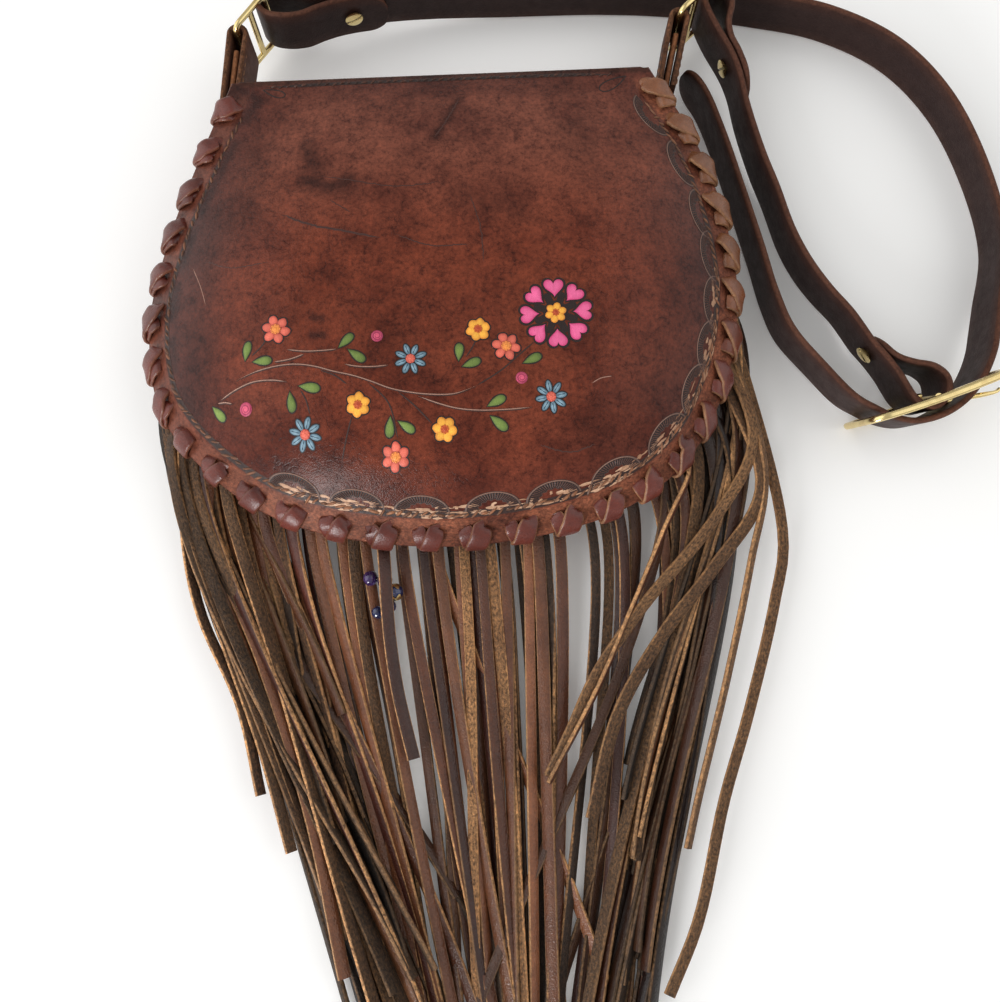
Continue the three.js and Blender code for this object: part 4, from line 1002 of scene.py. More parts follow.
def domed_rings(plan, drop, out):
    """Closed section rings of a domed sheet: outer face, rounded rim, inner face and rounded top edge."""
    columns, rows = plan.shape[:2]
    flat = plan.reshape(-1, 2)
    normals = flap_normal(flat).reshape(columns, rows, 3)
    outer = np.concatenate([plan, (flap_height(flat) - drop).reshape(columns, rows, 1)], axis=2)
    half = BODY_LEATHER / 2
    inner = (outer - normals * BODY_LEATHER)[:, ::INNER_ROW_STEP]
    turn = np.linspace(0, math.pi, RIM_STEPS + 1)[1:-1]

    def rim(column_end, push, start):
        centre = outer[:, column_end] - normals[:, column_end] * half
        bulge = np.sin(turn)[None, :, None] * push[:, None, :] * half * RIM_BULGE
        fall = start * np.cos(turn)[None, :, None] * normals[:, column_end][:, None, :] * half
        return centre[:, None, :] + bulge + fall

    low_push = np.column_stack([out, np.zeros(columns)])
    top_push = np.tile([0, 1.0, 0], (columns, 1))
    return np.concatenate([outer, rim(-1, low_push, 1), inner[:, ::-1], rim(0, top_push, -1)], axis=1)


# Where the flap's tints change, in millimetres from its edge, its top or its middle
FIELD_BLEND_Y = (10, 80)
BURNISH_LEFT_X = (20, 110)
BURNISH_REACH = (34, 16)
BURNISH_SHARE = (0.55, 0.35)
TOP_BURNISH = (4, 22)
TOP_BURNISH_SHARE = 0.6
BORDER_LEFT_X = (-20, 60)
BORDER_LEFT_Y = (-85, -50)
BORDER_BLEND = (STITCH_INSET - 2.4, STITCH_INSET - 0.6)
BORDER_TOP = (2, 12)
TOP_EDGE = (1.2, 3)
CHORD_STEPS = 5


def flap_tints(plan):
    """Tint of the flap's face by where it is: field, burnished edges, tan border and marks."""
    distance = edge_distance(plan)
    x, y = plan[:, 0], plan[:, 1]
    from_top = FLAP_TOP_Y - y
    tints = between(FLAP_FIELD, FLAP_UPPER, smooth(y, *FIELD_BLEND_Y))
    left = smooth(-x, *BURNISH_LEFT_X)
    burnish = 1 - smooth(distance, STITCH_INSET, BURNISH_REACH[0] + BURNISH_REACH[1] * left)
    burnish *= BURNISH_SHARE[0] + BURNISH_SHARE[1] * left
    burnish = np.maximum(burnish, (1 - smooth(from_top, *TOP_BURNISH)) * TOP_BURNISH_SHARE)
    tints = between(tints, FLAP_DARK, burnish)
    marks = [(from_pixels(rows), half, strength) for rows, half, strength in DARK_MARKS]
    for place in from_pixels(BURNISHED_STAMP_PIXELS):
        reach = np.linspace(-1, 1, CHORD_STEPS) * BURNISHED_HALF / flap_edge.length
        chord = inset_line(STITCH_INSET + BURNISHED_IN, nearest_share(place) + reach)
        marks.append((chord, BURNISHED_IN, BURNISHED_STRENGTH))
    for line, half, strength in marks:
        tints = between(tints, MARK_DARK, strength * np.exp(-(line_distance(plan, line) / half) ** 2))
    border = between(FLAP_BORDER, FLAP_BORDER_LEFT, smooth(-x, *BORDER_LEFT_X) * smooth(y, *BORDER_LEFT_Y))
    share = (1 - smooth(distance, *BORDER_BLEND)) * smooth(from_top, *BORDER_TOP)
    return between(between(tints, border, share), FLAP_TOP_EDGE, 1 - smooth(from_top, *TOP_EDGE))


def make_flap():
    piece = Piece("flap_face", MATERIALS["flap"], "flap_leather", "flap")
    plan = sheet_columns(
        (FLAP_EDGE[0][0] + SHEET_CORNER, FLAP_TOP_Y), (FLAP_EDGE[-1][0] - SHEET_CORNER, FLAP_TOP_Y),
        flap_edge.at, FLAP_COLUMNS, FLAP_ROWS)
    rings = domed_rings(plan, 0, flap_edge.out(np.linspace(0, 1, FLAP_COLUMNS + 1)))
    tints = np.broadcast_to(FLAP_UNDER, rings.shape[:2] + (4,)).copy()
    rows = FLAP_ROWS + 1
    tints[:, :rows] = flap_tints(plan.reshape(-1, 2)).reshape(FLAP_COLUMNS + 1, rows, 4)
    rim = RIM_STEPS - 1
    tints[:, rows:rows + rim] = FLAP_BORDER_LEFT
    tints[:, -rim:] = FLAP_TOP_EDGE
    piece.grid(rings, tints, ring=True, caps=True)
    return piece.build()


def edge_places(share, rows):
    """Places by run along the flap's edge, inset and lift, with the outward facing of a lace laid there."""
    runs, insets, lifts = rows.T
    shares = np.clip(share + runs / flap_edge.length, 0, 1)
    plan = flap_edge.at(shares) - flap_edge.out(shares) * np.maximum(insets, 0)[:, None]
    normals = flap_normal(plan)
    heading = np.column_stack([flap_edge.along(shares), np.zeros(len(shares))])
    inward = unit(np.cross(normals, heading))
    outside = (inward[:, :2] * flap_edge.out(shares)).sum(axis=1) > 0
    inward[outside] *= -1
    core = BODY_LEATHER / 2
    facing = np.minimum(insets - core, 0)[:, None] * inward + (lifts + core)[:, None] * normals
    return on_flap(plan, lifts) + inward * np.minimum(insets, 0)[:, None], unit(facing)


# Looks of the lace, its run below the flap and how its loops slant
LACE_TURN = (-2, 1)
LACE_CUT = (0.25, 0.65)
LACE_TONE = (0.85, 1.15)
LACE_BOXY = 0.62
LACE_RIM = (0.8, 1)
LACE_WAVER = 0.2
LACE_WAVER_SHARES = [0.2, 1, 0.4]
LACE_SWELL = (0.8, 0.22, 0.25)
LACE_WIDTHS = (0.9, 1.08)
LACE_BELOW = {"start": 2, "stop": 4, "steps": 14, "inset": 5.0, "lift": -4.1}
LACE_LEFT_FACING = (0.7, 0.95)
APART = {"left": 7, "front": 7.5, "right": 3}
WIDE_TRAVEL = {"left": 8.5, "front": 3.5, "right": 6.5}
SHORT_TRAVEL = 2.5
LACE_SEED_STEP = 40.0


def make_lacing():
    """Pairs of loops: a short one, and a wide one that crosses slantwise over it and over the edge."""
    piece = Piece("flap_lace_loops", MATERIALS["lace"], "lace", "flap_lacing")
    pitch = (flap_edge.length - 2 * LACE_END_INSET) / (LACE_UNITS - 1)
    for number in range(LACE_UNITS):
        share = (LACE_END_INSET + number * pitch) / flap_edge.length
        tan, cut = (smooth(number, start + LACE_TURN[0], start + LACE_TURN[1])
                    for start in (LACE_TAN_FROM, LACE_CUT_FROM))
        body = between(LACE_RED, LACE_TAN, tan) * RNG.uniform(*LACE_TONE)
        apart, wide_travel, short_travel = lace_slant(*flap_edge.along(share)[0])
        for loop, travel in ((SHORT_LOOP, short_travel), (WIDE_LOOP, wide_travel)):
            lace_loop(piece, share, loop, loop["hole"] * apart, travel, body, LACE_CUT[0] + LACE_CUT[1] * cut,
                      LACE_SEED_STEP * number)
        if number + 1 < LACE_UNITS:
            lace_run(piece, share, pitch, body)
    return piece.build()


def lace_loop(piece, share, loop, hole, travel, body, cut, seed):
    stations = np.linspace(0, 1, LACE_STATIONS)
    section = oval_section(loop["width"], loop["thick"], LACE_SIDES, LACE_BOXY)
    worn = smooth(np.abs(section[:, 0]) / (loop["width"] / 2), *LACE_RIM) * cut
    rows = np.array(loop["rows"])
    rows = rows + RNG.normal(0, LACE_WAVER, rows.shape) * LACE_WAVER_SHARES
    rows[:, 0] = hole + travel * rows[:, 0]
    path, facing = edge_places(share, Curve(rows).at(stations))
    heading = headings(path)
    side = unit(np.cross(facing, heading))
    narrow, swell, swollen = LACE_SWELL
    wide = (narrow + swell * smooth(stations, 0, swollen)) * RNG.uniform(*LACE_WIDTHS)
    sweep(piece, path, side, np.cross(heading, side), section, between(body, LACE_EDGE, worn)[None],
          taper=np.column_stack([wide, np.ones(LACE_STATIONS)]), seed=seed)


def lace_run(piece, share, pitch, body):
    """The lace's way below the flap from one pair of loops to the next."""
    below = LACE_BELOW
    runs = np.linspace(below["start"], pitch - below["stop"], below["steps"])
    rows = np.column_stack([runs, np.full(len(runs), below["inset"]), np.full(len(runs), below["lift"])])
    path, facing = edge_places(share, rows)
    side = unit(np.cross(facing, headings(path)))
    section = oval_section(LACE_RUN_WIDTH, LACE_RUN_THICK, LACE_SIDES)
    sweep(piece, path, side, facing, section, body[None, None])


def lace_slant(along_x, along_y):
    """How far apart a unit's two holes are, and how far its wide and short loops run before the edge."""
    left = smooth(-along_y, *LACE_LEFT_FACING)
    right = max(along_y, 0)
    apart, wide = (row["left"] * left - (1 - left) * (row["front"] + row["right"] * right)
                   for row in (APART, WIDE_TRAVEL))
    return apart, wide, SHORT_TRAVEL * left + (1 - left) * SHORT_TRAVEL * along_x


def inset_line(inset, shares):
    return flap_edge.at(shares) - flap_edge.out(shares) * inset


# Stitches and torn grain: shares along the edge, and ranges that each one is drawn from
STITCH_ENDS = 13
GROOVE_STEPS = 520
GROOVE_WIDTH = 2.6
STITCH_BRIGHT = (0.3, 0.45)
STITCH_FADE = (0.6, 0.75)
STITCH_MIX = (0.45, 0.55)
STITCH_MIXED = (0.4, 1)
STITCH_STRAY = 0.35
STITCH_TONE = (0.6, 1.5)
STITCH_TURN = 0.25
STITCH_SCALE = (0.65, 1.12)
STITCH_WAVER = 0.1
STITCH_EDGE = 0.4
TORN_FADE = 0.45
TORN_FADE_RUN = 0.1
TORN_INSET = (-1.2, 3)
TORN_LONG = (1.2, 6)
TORN_WIDE = (0.35, 1.1)
TORN_SIDES = 20
TORN_WAVER = 0.6
TORN_TONE = (0.3, 1)
TORN_HIGH = (0.02, 0.1)
TORN_EDGE = 0.8
SEAM_STEPS = 160
SEAM_PAST = (3, 2)
SEAM_GROOVE = 2
SEAM_TONE = (0, 1.3)
SEAM_STRAY = 0.2


def make_stitching():
    """Rope-like stitches inside the border with their groove and torn grain, and the seam along the top."""
    piece = Piece("flap_stitching", MATERIALS["paint"], "flap_leather")
    reach = STITCH_ENDS / flap_edge.length
    groove(piece, inset_line(STITCH_INSET, np.linspace(reach, 1 - reach, GROOVE_STEPS)), GROOVE_WIDTH)
    count = int((flap_edge.length - 2 * STITCH_ENDS) / STITCH_PITCH)
    shares = reach + (1 - 2 * reach) * (np.arange(count) + 0.5) / count
    for share, place, along in zip(shares, inset_line(STITCH_INSET, shares), flap_edge.along(shares)):
        bright = smooth(share, *STITCH_BRIGHT) * (1 - 0.5 * smooth(share, *STITCH_FADE))
        mixed = STITCH_MIX[0] + STITCH_MIX[1] * bright * RNG.uniform(*STITCH_MIXED)
        tint = between(STITCH_DARK, STITCH_BROWN, mixed)
        place = place + RNG.normal(0, STITCH_STRAY, 2)
        stitch(piece, place, along, STITCH_SIZE, tint * RNG.uniform(*STITCH_TONE))
    for share in RNG.uniform(TORN_FROM, TORN_TO, TORN_COUNT):
        torn_flake(piece, share)
    seam = np.linspace(SEAM_LEFT - SEAM_PAST[0], SEAM_RIGHT + SEAM_PAST[1], SEAM_STEPS)
    groove(piece, np.column_stack([seam, np.full(SEAM_STEPS, SEAM_Y)]), SEAM_GROOVE)
    for x in np.arange(SEAM_LEFT, SEAM_RIGHT, SEAM_PITCH):
        tint = between(GROOVE, STITCH_DARK, RNG.uniform(*SEAM_TONE))
        place = np.array([x, SEAM_Y]) + RNG.normal(0, SEAM_STRAY, 2)
        stitch(piece, place, np.array([1.0, 0]), SEAM_STITCH, tint)
    return piece.build()


def groove(piece, line, width):
    ribbon(piece, line, width, 0.03, GROOVE, OUTLINE, 0.05)


def torn_flake(piece, share):
    bright = 1 - TORN_FADE * smooth(share, TORN_BRIGHT_TO, TORN_BRIGHT_TO + TORN_FADE_RUN)
    place = inset_line(STITCH_INSET + RNG.uniform(*TORN_INSET), share)[0]
    long, wide = RNG.uniform(*TORN_LONG), RNG.uniform(*TORN_WIDE)
    shape = wobbled(oval(place, flap_edge.along(share)[0], long, wide, TORN_SIDES), TORN_WAVER)
    tint = between(STITCH_BROWN, TORN_GRAIN, bright * RNG.uniform(*TORN_TONE))
    patch(piece, shape, RNG.uniform(*TORN_HIGH), tint * TORN_EDGE, tint, 0.08, 3)


def stitch(piece, place, along, size, tint):
    axis = heading_at(math.atan2(along[1], along[0]) + STITCH_SLANT + RNG.normal(0, STITCH_TURN))
    long, wide = np.array(size) * RNG.uniform(*STITCH_SCALE, 2)
    shape = wobbled(oval(place, axis, long, wide), STITCH_WAVER)
    patch(piece, shape, STITCH_HIGH, tint * STITCH_EDGE, tint, 0.1, 3)


def wobbled(rows, amount):
    """An outline drawn by hand: its distance from the middle wavers."""
    angle = circle(len(rows))
    waver = sum(np.sin(angle * k + RNG.uniform(0, 2 * math.pi)) * RNG.normal(0, 1) / k for k in WAVES)
    centre = rows.mean(axis=0)
    return centre + (rows - centre) * (1 + amount * waver)[:, None]


def nearest_share(place):
    shares = np.linspace(0, 1, EDGE_SEARCH)
    return shares[np.argmin(np.linalg.norm(flap_edge.at(shares) - place, axis=1))]


def make_stamps():
    """Half-moon stamps with radial rays, their flat sides on the stitch line."""
    piece = Piece("flap_stamps", MATERIALS["paint"], "flap_leather")
    for place in from_pixels(STAMP_PIXELS):
        share = nearest_share(place)
        middle = inset_line(STITCH_INSET + STAMP_OFF_STITCH, share)[0]
        half_moon(piece, middle, flap_edge.along(share)[0], -flap_edge.out(share)[0])
    return piece.build()


# Half-moon rings: share of the radius, lift and whether the rays cut them; the first three follow a scallop
STAMP_SCALLOP = (0.6, 0.04, 4)
STAMP_RINGS = [(-0.06, 0.01, 0), (0, 0.05, 0), (0.06, 0.3, 1), (0.8, 0.36, 1), (0.92, 0.3, 1),
               (0.97, 0.06, 0), (1.02, 0.26, 0), (1.07, 0.01, 0)]
STAMP_SCALLOPED = 3
STAMP_RIM_RING = 6
STAMP_RIM_HIGHLIGHT_MIX = (0.35, 0.65)
STAMP_RIM_HIGHLIGHT_TONE = (0.6, 1)
STAMP_ENDS = 0.05
STAMP_LIFT = 0.04
RAY_DEPTH = 0.9
RAY_SHARPNESS = 1.8


def half_moon(piece, middle, along, inward):
    count = STAMP_RAYS * STAMP_RAY_SAMPLES
    angle = np.linspace(STAMP_ENDS, math.pi - STAMP_ENDS, count)
    beat = np.arange(count) * 2 * math.pi
    base, swing, rays = STAMP_SCALLOP
    wave = (0.5 + 0.5 * np.cos(beat / STAMP_RAY_SAMPLES)) ** RAY_SHARPNESS
    scallop = base + swing * np.cos(beat / (rays * STAMP_RAY_SAMPLES))
    rows, lifts, tints = [], [], []
    for number, (radius, depth, share) in enumerate(STAMP_RINGS):
        if number < STAMP_SCALLOPED:
            radius = scallop + radius
        rows.append(middle + np.outer(np.cos(angle) * radius * STAMP_LONG, along)
                    + np.outer(np.sin(angle) * radius * STAMP_DEEP, inward))
        lifts.append(STAMP_LIFT + depth * (1 - share * (1 - wave) * RAY_DEPTH))
        tints.append(between(STAMP_GROOVE, STAMP_RIDGE, wave * share))
    tints[0] = np.broadcast_to(STAMP_RIDGE, (count, 4))
    # The rim ring is painted light, most towards the middle of the arc: a painted highlight along the stamp's
    # outer edge
    rim = STAMP_RIM_HIGHLIGHT_MIX[0] + STAMP_RIM_HIGHLIGHT_MIX[1] * np.sin(angle) ** 2 * RNG.uniform(*STAMP_RIM_HIGHLIGHT_TONE)
    tints[STAMP_RIM_RING] = between(STAMP_GROOVE, STAMP_RIM_HIGHLIGHT, rim)
    flat = on_flap(np.vstack(rows), np.concatenate(lifts)).reshape(len(rows), count, 3)
    piece.grid(flat, np.stack(tints))


# Flowers, leaves and vine
# Petal flowers: pixels, radius in pixels, petals' distance, length and width as shares of it, and tints
PETALS = 6
PETAL_FLOWERS = [
    (CORAL_FLOWERS, CORAL_RADIUS_PX, (0.62, 0.74, 0.62), (CORAL_EDGE, CORAL), (ORANGE, CORAL_EDGE)),
    (YELLOW_FLOWERS, YELLOW_RADIUS_PX, (0.52, 0.94, 0.8), (YELLOW_EDGE, YELLOW), (RED, YELLOW_EDGE)),
]
VINE_SHADOW = [0.25, -0.3]
VINE_SHADOW_WIDTH = 1.2
CREASE_STRAY = 0.12
CORNER_LEAF_WIDTH = 0.36
CORNER_LEAF_LINE = 0.55
TEARDROP_SWELL = (1.1, 0.62)
LEAF_WAVER = 0.035
LEAF_TONE = (0.8, 1.12)
PETAL_TONE = (0.85, 1.1)
PETAL_HIGH = 0.26
DAISY_PETALS = 8
ROUNDEL_TURNS = 4.2
HEARTS = 8
HEART_TURN = 0.03
WEDGE_TURN = 0.42
WEDGE_PX = (8, 23)
HEART_TONE = (0.92, 1.08)


def make_motifs():
    piece = Piece("flap_flowers", MATERIALS["paint"], "flap_leather")
    # Each vine cut: the dark ribbon beside it is a painted shadow, and the light ribbon along it a painted
    # highlight
    for rows in HIGHLIT_VINE_CUTS:
        line = pixel_line(rows, 60)
        ribbon(piece, line + VINE_SHADOW, VINE_WIDTH * VINE_SHADOW_WIDTH, 0.03, GROOVE, GROOVE, 0.05)
        ribbon(piece, line, VINE_WIDTH, 0.14, GROOVE, VINE_HIGHLIGHT_AND_SCRATCH, 0.07)
    for rows in DARK_STEMS:
        ribbon(piece, pixel_line(rows, 30), STEM_WIDTH, 0.05, MARK_DARK, GROOVE, 0.05)
    # Creases: dark lines of painted shade in the folds
    for rows, width in CREASES:
        line = pixel_line(rows, 40)
        ribbon(piece, line + RNG.normal(0, CREASE_STRAY, line.shape), width, 0.02, CREASE_SHADE_AND_SCRATCH_SIDE, MARK_DARK, 0.04)
    for rows, width in SCRATCHES:
        ribbon(piece, pixel_line(rows, 24), width, 0.05, CREASE_SHADE_AND_SCRATCH_SIDE, VINE_HIGHLIGHT_AND_SCRATCH, 0.05)
    for ends in LEAVES:
        leaf(piece, *from_pixels(ends))
    for ends in CORNER_LEAVES:
        shape = teardrop(*from_pixels(ends), CORNER_LEAF_WIDTH)
        ribbon(piece, np.vstack([shape, shape[:2]]), CORNER_LEAF_LINE, 0.04, OUTLINE, OUTLINE, 0.06)
    for pixels, radius_px, form, petal_tints, middle_tints in PETAL_FLOWERS:
        for pixel in pixels:
            petal_flower(piece, pixel, radius_px, form, petal_tints, middle_tints)
    for pixel in BLUE_DAISIES:
        daisy(piece, pixel)
    for pixel in PINK_ROUNDELS:
        roundel(piece, pixel)
    heart_flower(piece)
    return piece.build()


def pixel_line(rows, steps):
    return Curve(from_pixels(rows)).at(np.linspace(0, 1, steps))


def teardrop(tip, round_end, width, sides=30):
    run = round_end - tip
    length = np.linalg.norm(run)
    axis = run / length
    angle = circle(sides)
    along = (1 - np.cos(angle)) / 2 * length
    power, swollen = TEARDROP_SWELL
    swell = np.sin(angle) * np.sin(angle / 2) ** power * width * length * swollen
    return tip + np.outer(along, axis) + np.outer(swell, -right_of(axis))


def backing(piece, shape, margin, lift):
    """Dark flat under a painted shape that shows as its cut outline."""
    middle = shape.mean(axis=0)
    away = shape - middle
    patch(piece, middle + away + unit(away) * margin, 0.02, OUTLINE, OUTLINE, lift, 2)


def disc(centre, width, sides):
    return oval(centre, heading_at(0), width, width, sides)


def place_and_scale(pixel, radius_px):
    return from_pixels([pixel])[0], radius_px * pixel_size(pixel)


def leaf(piece, tip, round_end):
    shape = wobbled(teardrop(tip, round_end, LEAF_WIDTH), LEAF_WAVER)
    backing(piece, shape, 0.6, 0.08)
    tone = RNG.uniform(*LEAF_TONE)
    patch(piece, shape, 0.24, GREEN_EDGE * tone, GREEN * tone, 0.14, 5, 3.0)


def petal_flower(piece, pixel, radius_px, form, petal_tints, middle_tints):
    """Round-petalled flower."""
    centre, radius = place_and_scale(pixel, radius_px)
    reach, long, wide = (share * radius for share in form)
    axes = [heading_at(angle) for angle in RNG.uniform(0, 1) + np.arange(PETALS) * 2 * math.pi / PETALS]
    shapes = [wobbled(oval(centre + axis * reach, axis, long, wide, 18), 0.08) for axis in axes]
    for shape in shapes:
        backing(piece, shape, 0.55, 0.07)
    for shape in shapes:
        tone = RNG.uniform(*PETAL_TONE)
        patch(piece, shape, PETAL_HIGH, petal_tints[0] * tone, petal_tints[1] * tone, 0.13, 4, 3.0)
    middle(piece, centre, radius * 0.34, middle_tints)


def middle(piece, centre, radius, tints):
    """Domed flower centre in a ring of small knobs."""
    face, edge = tints
    patch(piece, disc(centre, radius * 2.3, 24), 0.3, edge, face, 0.3, 3)
    for axis in map(heading_at, np.arange(8) * math.pi / 4):
        knob = oval(centre + axis * radius * 0.86, axis, radius * 0.5, radius * 0.42, 8)
        patch(piece, knob, 0.22, edge, face, 0.45, 2)
    patch(piece, disc(centre, radius * 0.9, 14), 0.22, edge * 0.8, face, 0.5, 3)


def daisy(piece, pixel):
    centre, radius = place_and_scale(pixel, DAISY_RADIUS_PX)
    start = RNG.uniform(0, 0.6)
    for k in range(DAISY_PETALS):
        axis = heading_at(start + k * math.pi / 4)
        shape = wobbled(oval(centre + axis * radius * 0.64, axis, radius * 0.74, radius * 0.36, 18), 0.06)
        backing(piece, shape, 0.45, 0.07)
        patch(piece, shape, PETAL_HIGH, BLUE_EDGE, BLUE * RNG.uniform(*PETAL_TONE), 0.13, 4, 2.6)
        line = centre + np.outer(np.linspace(0.36, 0.9, 10) * radius, axis)
        ribbon(piece, line, 0.45, 0.04, BLUE_EDGE, BLUE_EDGE * 0.6, 0.36)
    middle(piece, centre, radius * 0.27, (CORAL, CORAL_EDGE))


def roundel(piece, pixel):
    """Small rolled rose: a dome with a spiral cut in it."""
    centre, radius = place_and_scale(pixel, ROUNDEL_RADIUS_PX)
    patch(piece, disc(centre, radius * 2, 26), 0.45, ROSE_DARK, ROSE, 0.1, 4, 3.0)
    turn = np.linspace(0, ROUNDEL_TURNS * math.pi, 70)
    widening = radius * (0.12 + 0.72 * turn / turn[-1])
    spiral = centre + np.column_stack([np.cos(turn), np.sin(turn)]) * widening[:, None]
    ribbon(piece, spiral, 0.5, 0.05, ROSE_DARK, ROSE_DARK, 0.5)


def heart_flower(piece):
    centre, scale = place_and_scale(HEART_FLOWER, 1)
    t = circle(40)
    wide = 16 * np.sin(t) ** 3 / 32
    tall = (13 * np.cos(t) - 5 * np.cos(2 * t) - 2 * np.cos(3 * t) - np.cos(4 * t) + 2.5) / 29
    hearts = []
    for k in range(HEARTS):
        axis = heading_at(math.pi / 2 + HEART_TURN + k * math.pi / 4)
        place = centre + axis * HEART_RING_PX * scale
        hearts.append(place + np.outer(tall * HEART_LONG_PX * scale, axis)
                      + np.outer(wide * HEART_WIDE_PX * scale, -right_of(axis)))
        between_hearts = heading_at(math.pi / 2 + WEDGE_TURN + k * math.pi / 4)
        wedge = centre + np.outer(np.linspace(*WEDGE_PX, 12) * scale, between_hearts)
        ribbon(piece, wedge, 3, 0.03, OUTLINE, OUTLINE, 0.06)
    hearts = [wobbled(shape, 0.05) for shape in hearts]
    for shape in hearts:
        backing(piece, shape, 1, 0.08)
    for shape in hearts:
        patch(piece, shape, 0.2, PINK_EDGE, PINK * RNG.uniform(*HEART_TONE), 0.14, 5, 4.0)
    radius = HEART_MIDDLE_PX * scale
    patch(piece, disc(centre, radius * 2.3, 26), 0.02, OUTLINE, OUTLINE, 0.08, 2)
    for k in range(PETALS):
        axis = heading_at(0.3 + k * math.pi / 3)
        petal = oval(centre + axis * radius * 0.55, axis, radius * 0.9, radius * 0.72, 16)
        patch(piece, petal, 0.45, YELLOW_EDGE, YELLOW, 0.13, 4, 3.0)
    middle(piece, centre, radius * 0.36, (RED, YELLOW_EDGE))


# Pocket
def make_front():
    piece = Piece("front_leather", MATERIALS["body"], "body_leather", "front_panel")
    dense = np.linspace(0, 1, GUSSET_SEARCH)
    below = np.nonzero(gusset_line.at(dense)[:, 1] < FRONT_TOP_Y)[0]
    first, last = dense[below[0]], dense[below[-1]]

    def edge(shares):
        along = first + (last - first) * np.atleast_1d(shares)
        return gusset_line.at(along) + gusset_line.out(along) * GUSSET_LEATHER / 2

    corner = np.array([SHEET_CORNER, 0])
    plan = sheet_columns(edge(0)[0] + corner, edge(1)[0] - corner, edge, FRONT_COLUMNS, FRONT_ROWS)
    out = gusset_line.out(first + (last - first) * np.linspace(0, 1, FRONT_COLUMNS + 1))
    rings = domed_rings(plan, FRONT_DROP, out)
    tints = np.broadcast_to(BODY, rings.shape[:2] + (4,)).copy()
    tints[:, FRONT_ROWS + 1:FRONT_ROWS + RIM_STEPS] = BODY_EDGE
    tints[:, -(RIM_STEPS - 1):] = BODY_EDGE
    piece.grid(rings, tints, ring=True, caps=True)
    return piece.build()


def tongue_frame(side):
    ring = RINGS[side]
    base = np.array(GUSSET_LINE[0] if side == "left" else GUSSET_LINE[-1], float)
    bar = np.array(ring["far"]) + np.array(ring["towards"]) * 2 * RING_BAR_SPACING
    run = bar - base
    length = np.linalg.norm(run)
    along = run / length
    return base, bar, along, right_of(along), length


# Stitches on standing walls
GUSSET_STITCHES = (0.03, 0.97, 130)
GUSSET_STITCH_Z = 6.4
WALL_STITCH_STEPS = 7
WALL_STITCH_HALF = 1.7
WALL_STITCH_BULGE = 0.45
WALL_STITCH_SUNK = 0.2
WALL_STITCH_SECTION = (0.9, 0.7, 8)


def make_gusset():
    piece = Piece("gusset_leather", MATERIALS["body"], "body_leather", "gusset")
    shares = np.linspace(0, 1, GUSSET_STEPS + 1)
    plan, out = gusset_line.at(shares), gusset_line.out(shares)
    high = flap_height(plan) - FRONT_DROP - BODY_LEATHER / flap_normal(plan)[:, 2] - FRONT_SEAT
    low = np.full(len(plan), GUSSET_FOOT_Z)
    for side in ("left", "right"):
        base, _, along, across, length = tongue_frame(side)
        runs = np.linspace(TONGUE_START, length - TONGUE_SHORT_OF_BAR, TONGUE_STEPS)
        outward = np.tile(-across if side == "left" else across, (len(runs), 1))
        feet, tops = (np.full(len(runs), RING_CENTRE_Z + sign * TONGUE_HEIGHT / 2) for sign in (-1, 1))
        order = slice(None, None, -1) if side == "left" else slice(None)
        tongue = base + np.outer(runs, along)
        parts = ((tongue[order], plan), (outward[order], out), (feet, low), (tops, high))
        plan, out, low, high = (np.concatenate(pair if side == "left" else pair[::-1]) for pair in parts)
    standing(piece, plan, out, GUSSET_LEATHER / 2, low, high, BODY, BODY_EDGE)
    shares = np.linspace(*GUSSET_STITCHES)
    rows = zip(gusset_line.at(shares), gusset_line.along(shares), gusset_line.out(shares))
    for place, along, outward in rows:
        wall_stitch(piece, place + outward * (GUSSET_LEATHER / 2), along, outward, GUSSET_STITCH_Z)
    return piece.build()


def wall_stitch(piece, place, along, outward, height):
    """Stitch that lies along a standing wall."""
    run = np.linspace(-1, 1, WALL_STITCH_STEPS)
    along, outward = np.append(along, 0), np.append(outward, 0)
    bulge = (1 - run ** 2) * WALL_STITCH_BULGE - WALL_STITCH_SUNK
    path = np.append(place, height) + np.outer(run * WALL_STITCH_HALF, along) + np.outer(bulge, outward)
    rod(piece, path, outward, oval_section(*WALL_STITCH_SECTION), PLAIN_STITCH)


def make_back():
    piece = Piece("back_leather", MATERIALS["body"], "body_leather", "back_panel")
    shares = np.linspace(BACK_LOW_SHARE, BACK_HIGH_SHARE, BACK_STEPS + 1)
    half = GUSSET_LEATHER / 2
    left = gusset_line.at(shares) + gusset_line.out(shares) * half
    right = gusset_line.at(1 - shares) + gusset_line.out(1 - shares) * half
    bend_y = WALL_OUTER_Y - WALL_BEND
    lefts = [(p[0], p[1], 0) for p in left]
    rights = [(p[0], p[1], 0) for p in right]
    inward = [(0, 0, 1)] * len(lefts)
    for angle in np.linspace(0, math.pi / 2, BEND_STEPS):
        y, z = bend_y + WALL_BEND * math.sin(angle), WALL_BEND * (1 - math.cos(angle))
        lefts.append((WALL_LEFT, y, z))
        rights.append((WALL_RIGHT, y, z))
        inward.append((0, -math.sin(angle), math.cos(angle)))
    for z in np.linspace(WALL_BEND, WALL_TOP_Z, WALL_STEPS)[1:]:
        lefts.append((WALL_LEFT, WALL_OUTER_Y, z))
        rights.append((WALL_RIGHT, WALL_OUTER_Y, z))
        inward.append((0, -1, 0))
    lefts, rights, inward = (np.array(rows, float) for rows in (lefts, rights, inward))
    share = np.linspace(0, 1, BACK_COLUMNS + 1)[None, :, None]
    outer = lefts[:, None, :] * (1 - share) + rights[:, None, :] * share
    inner = outer[:, ::-1] + inward[:, None, :] * BODY_LEATHER
    rings = np.concatenate([outer, inner], axis=1)
    piece.grid(rings, BODY, ring=True, caps=True)
    return piece.build()


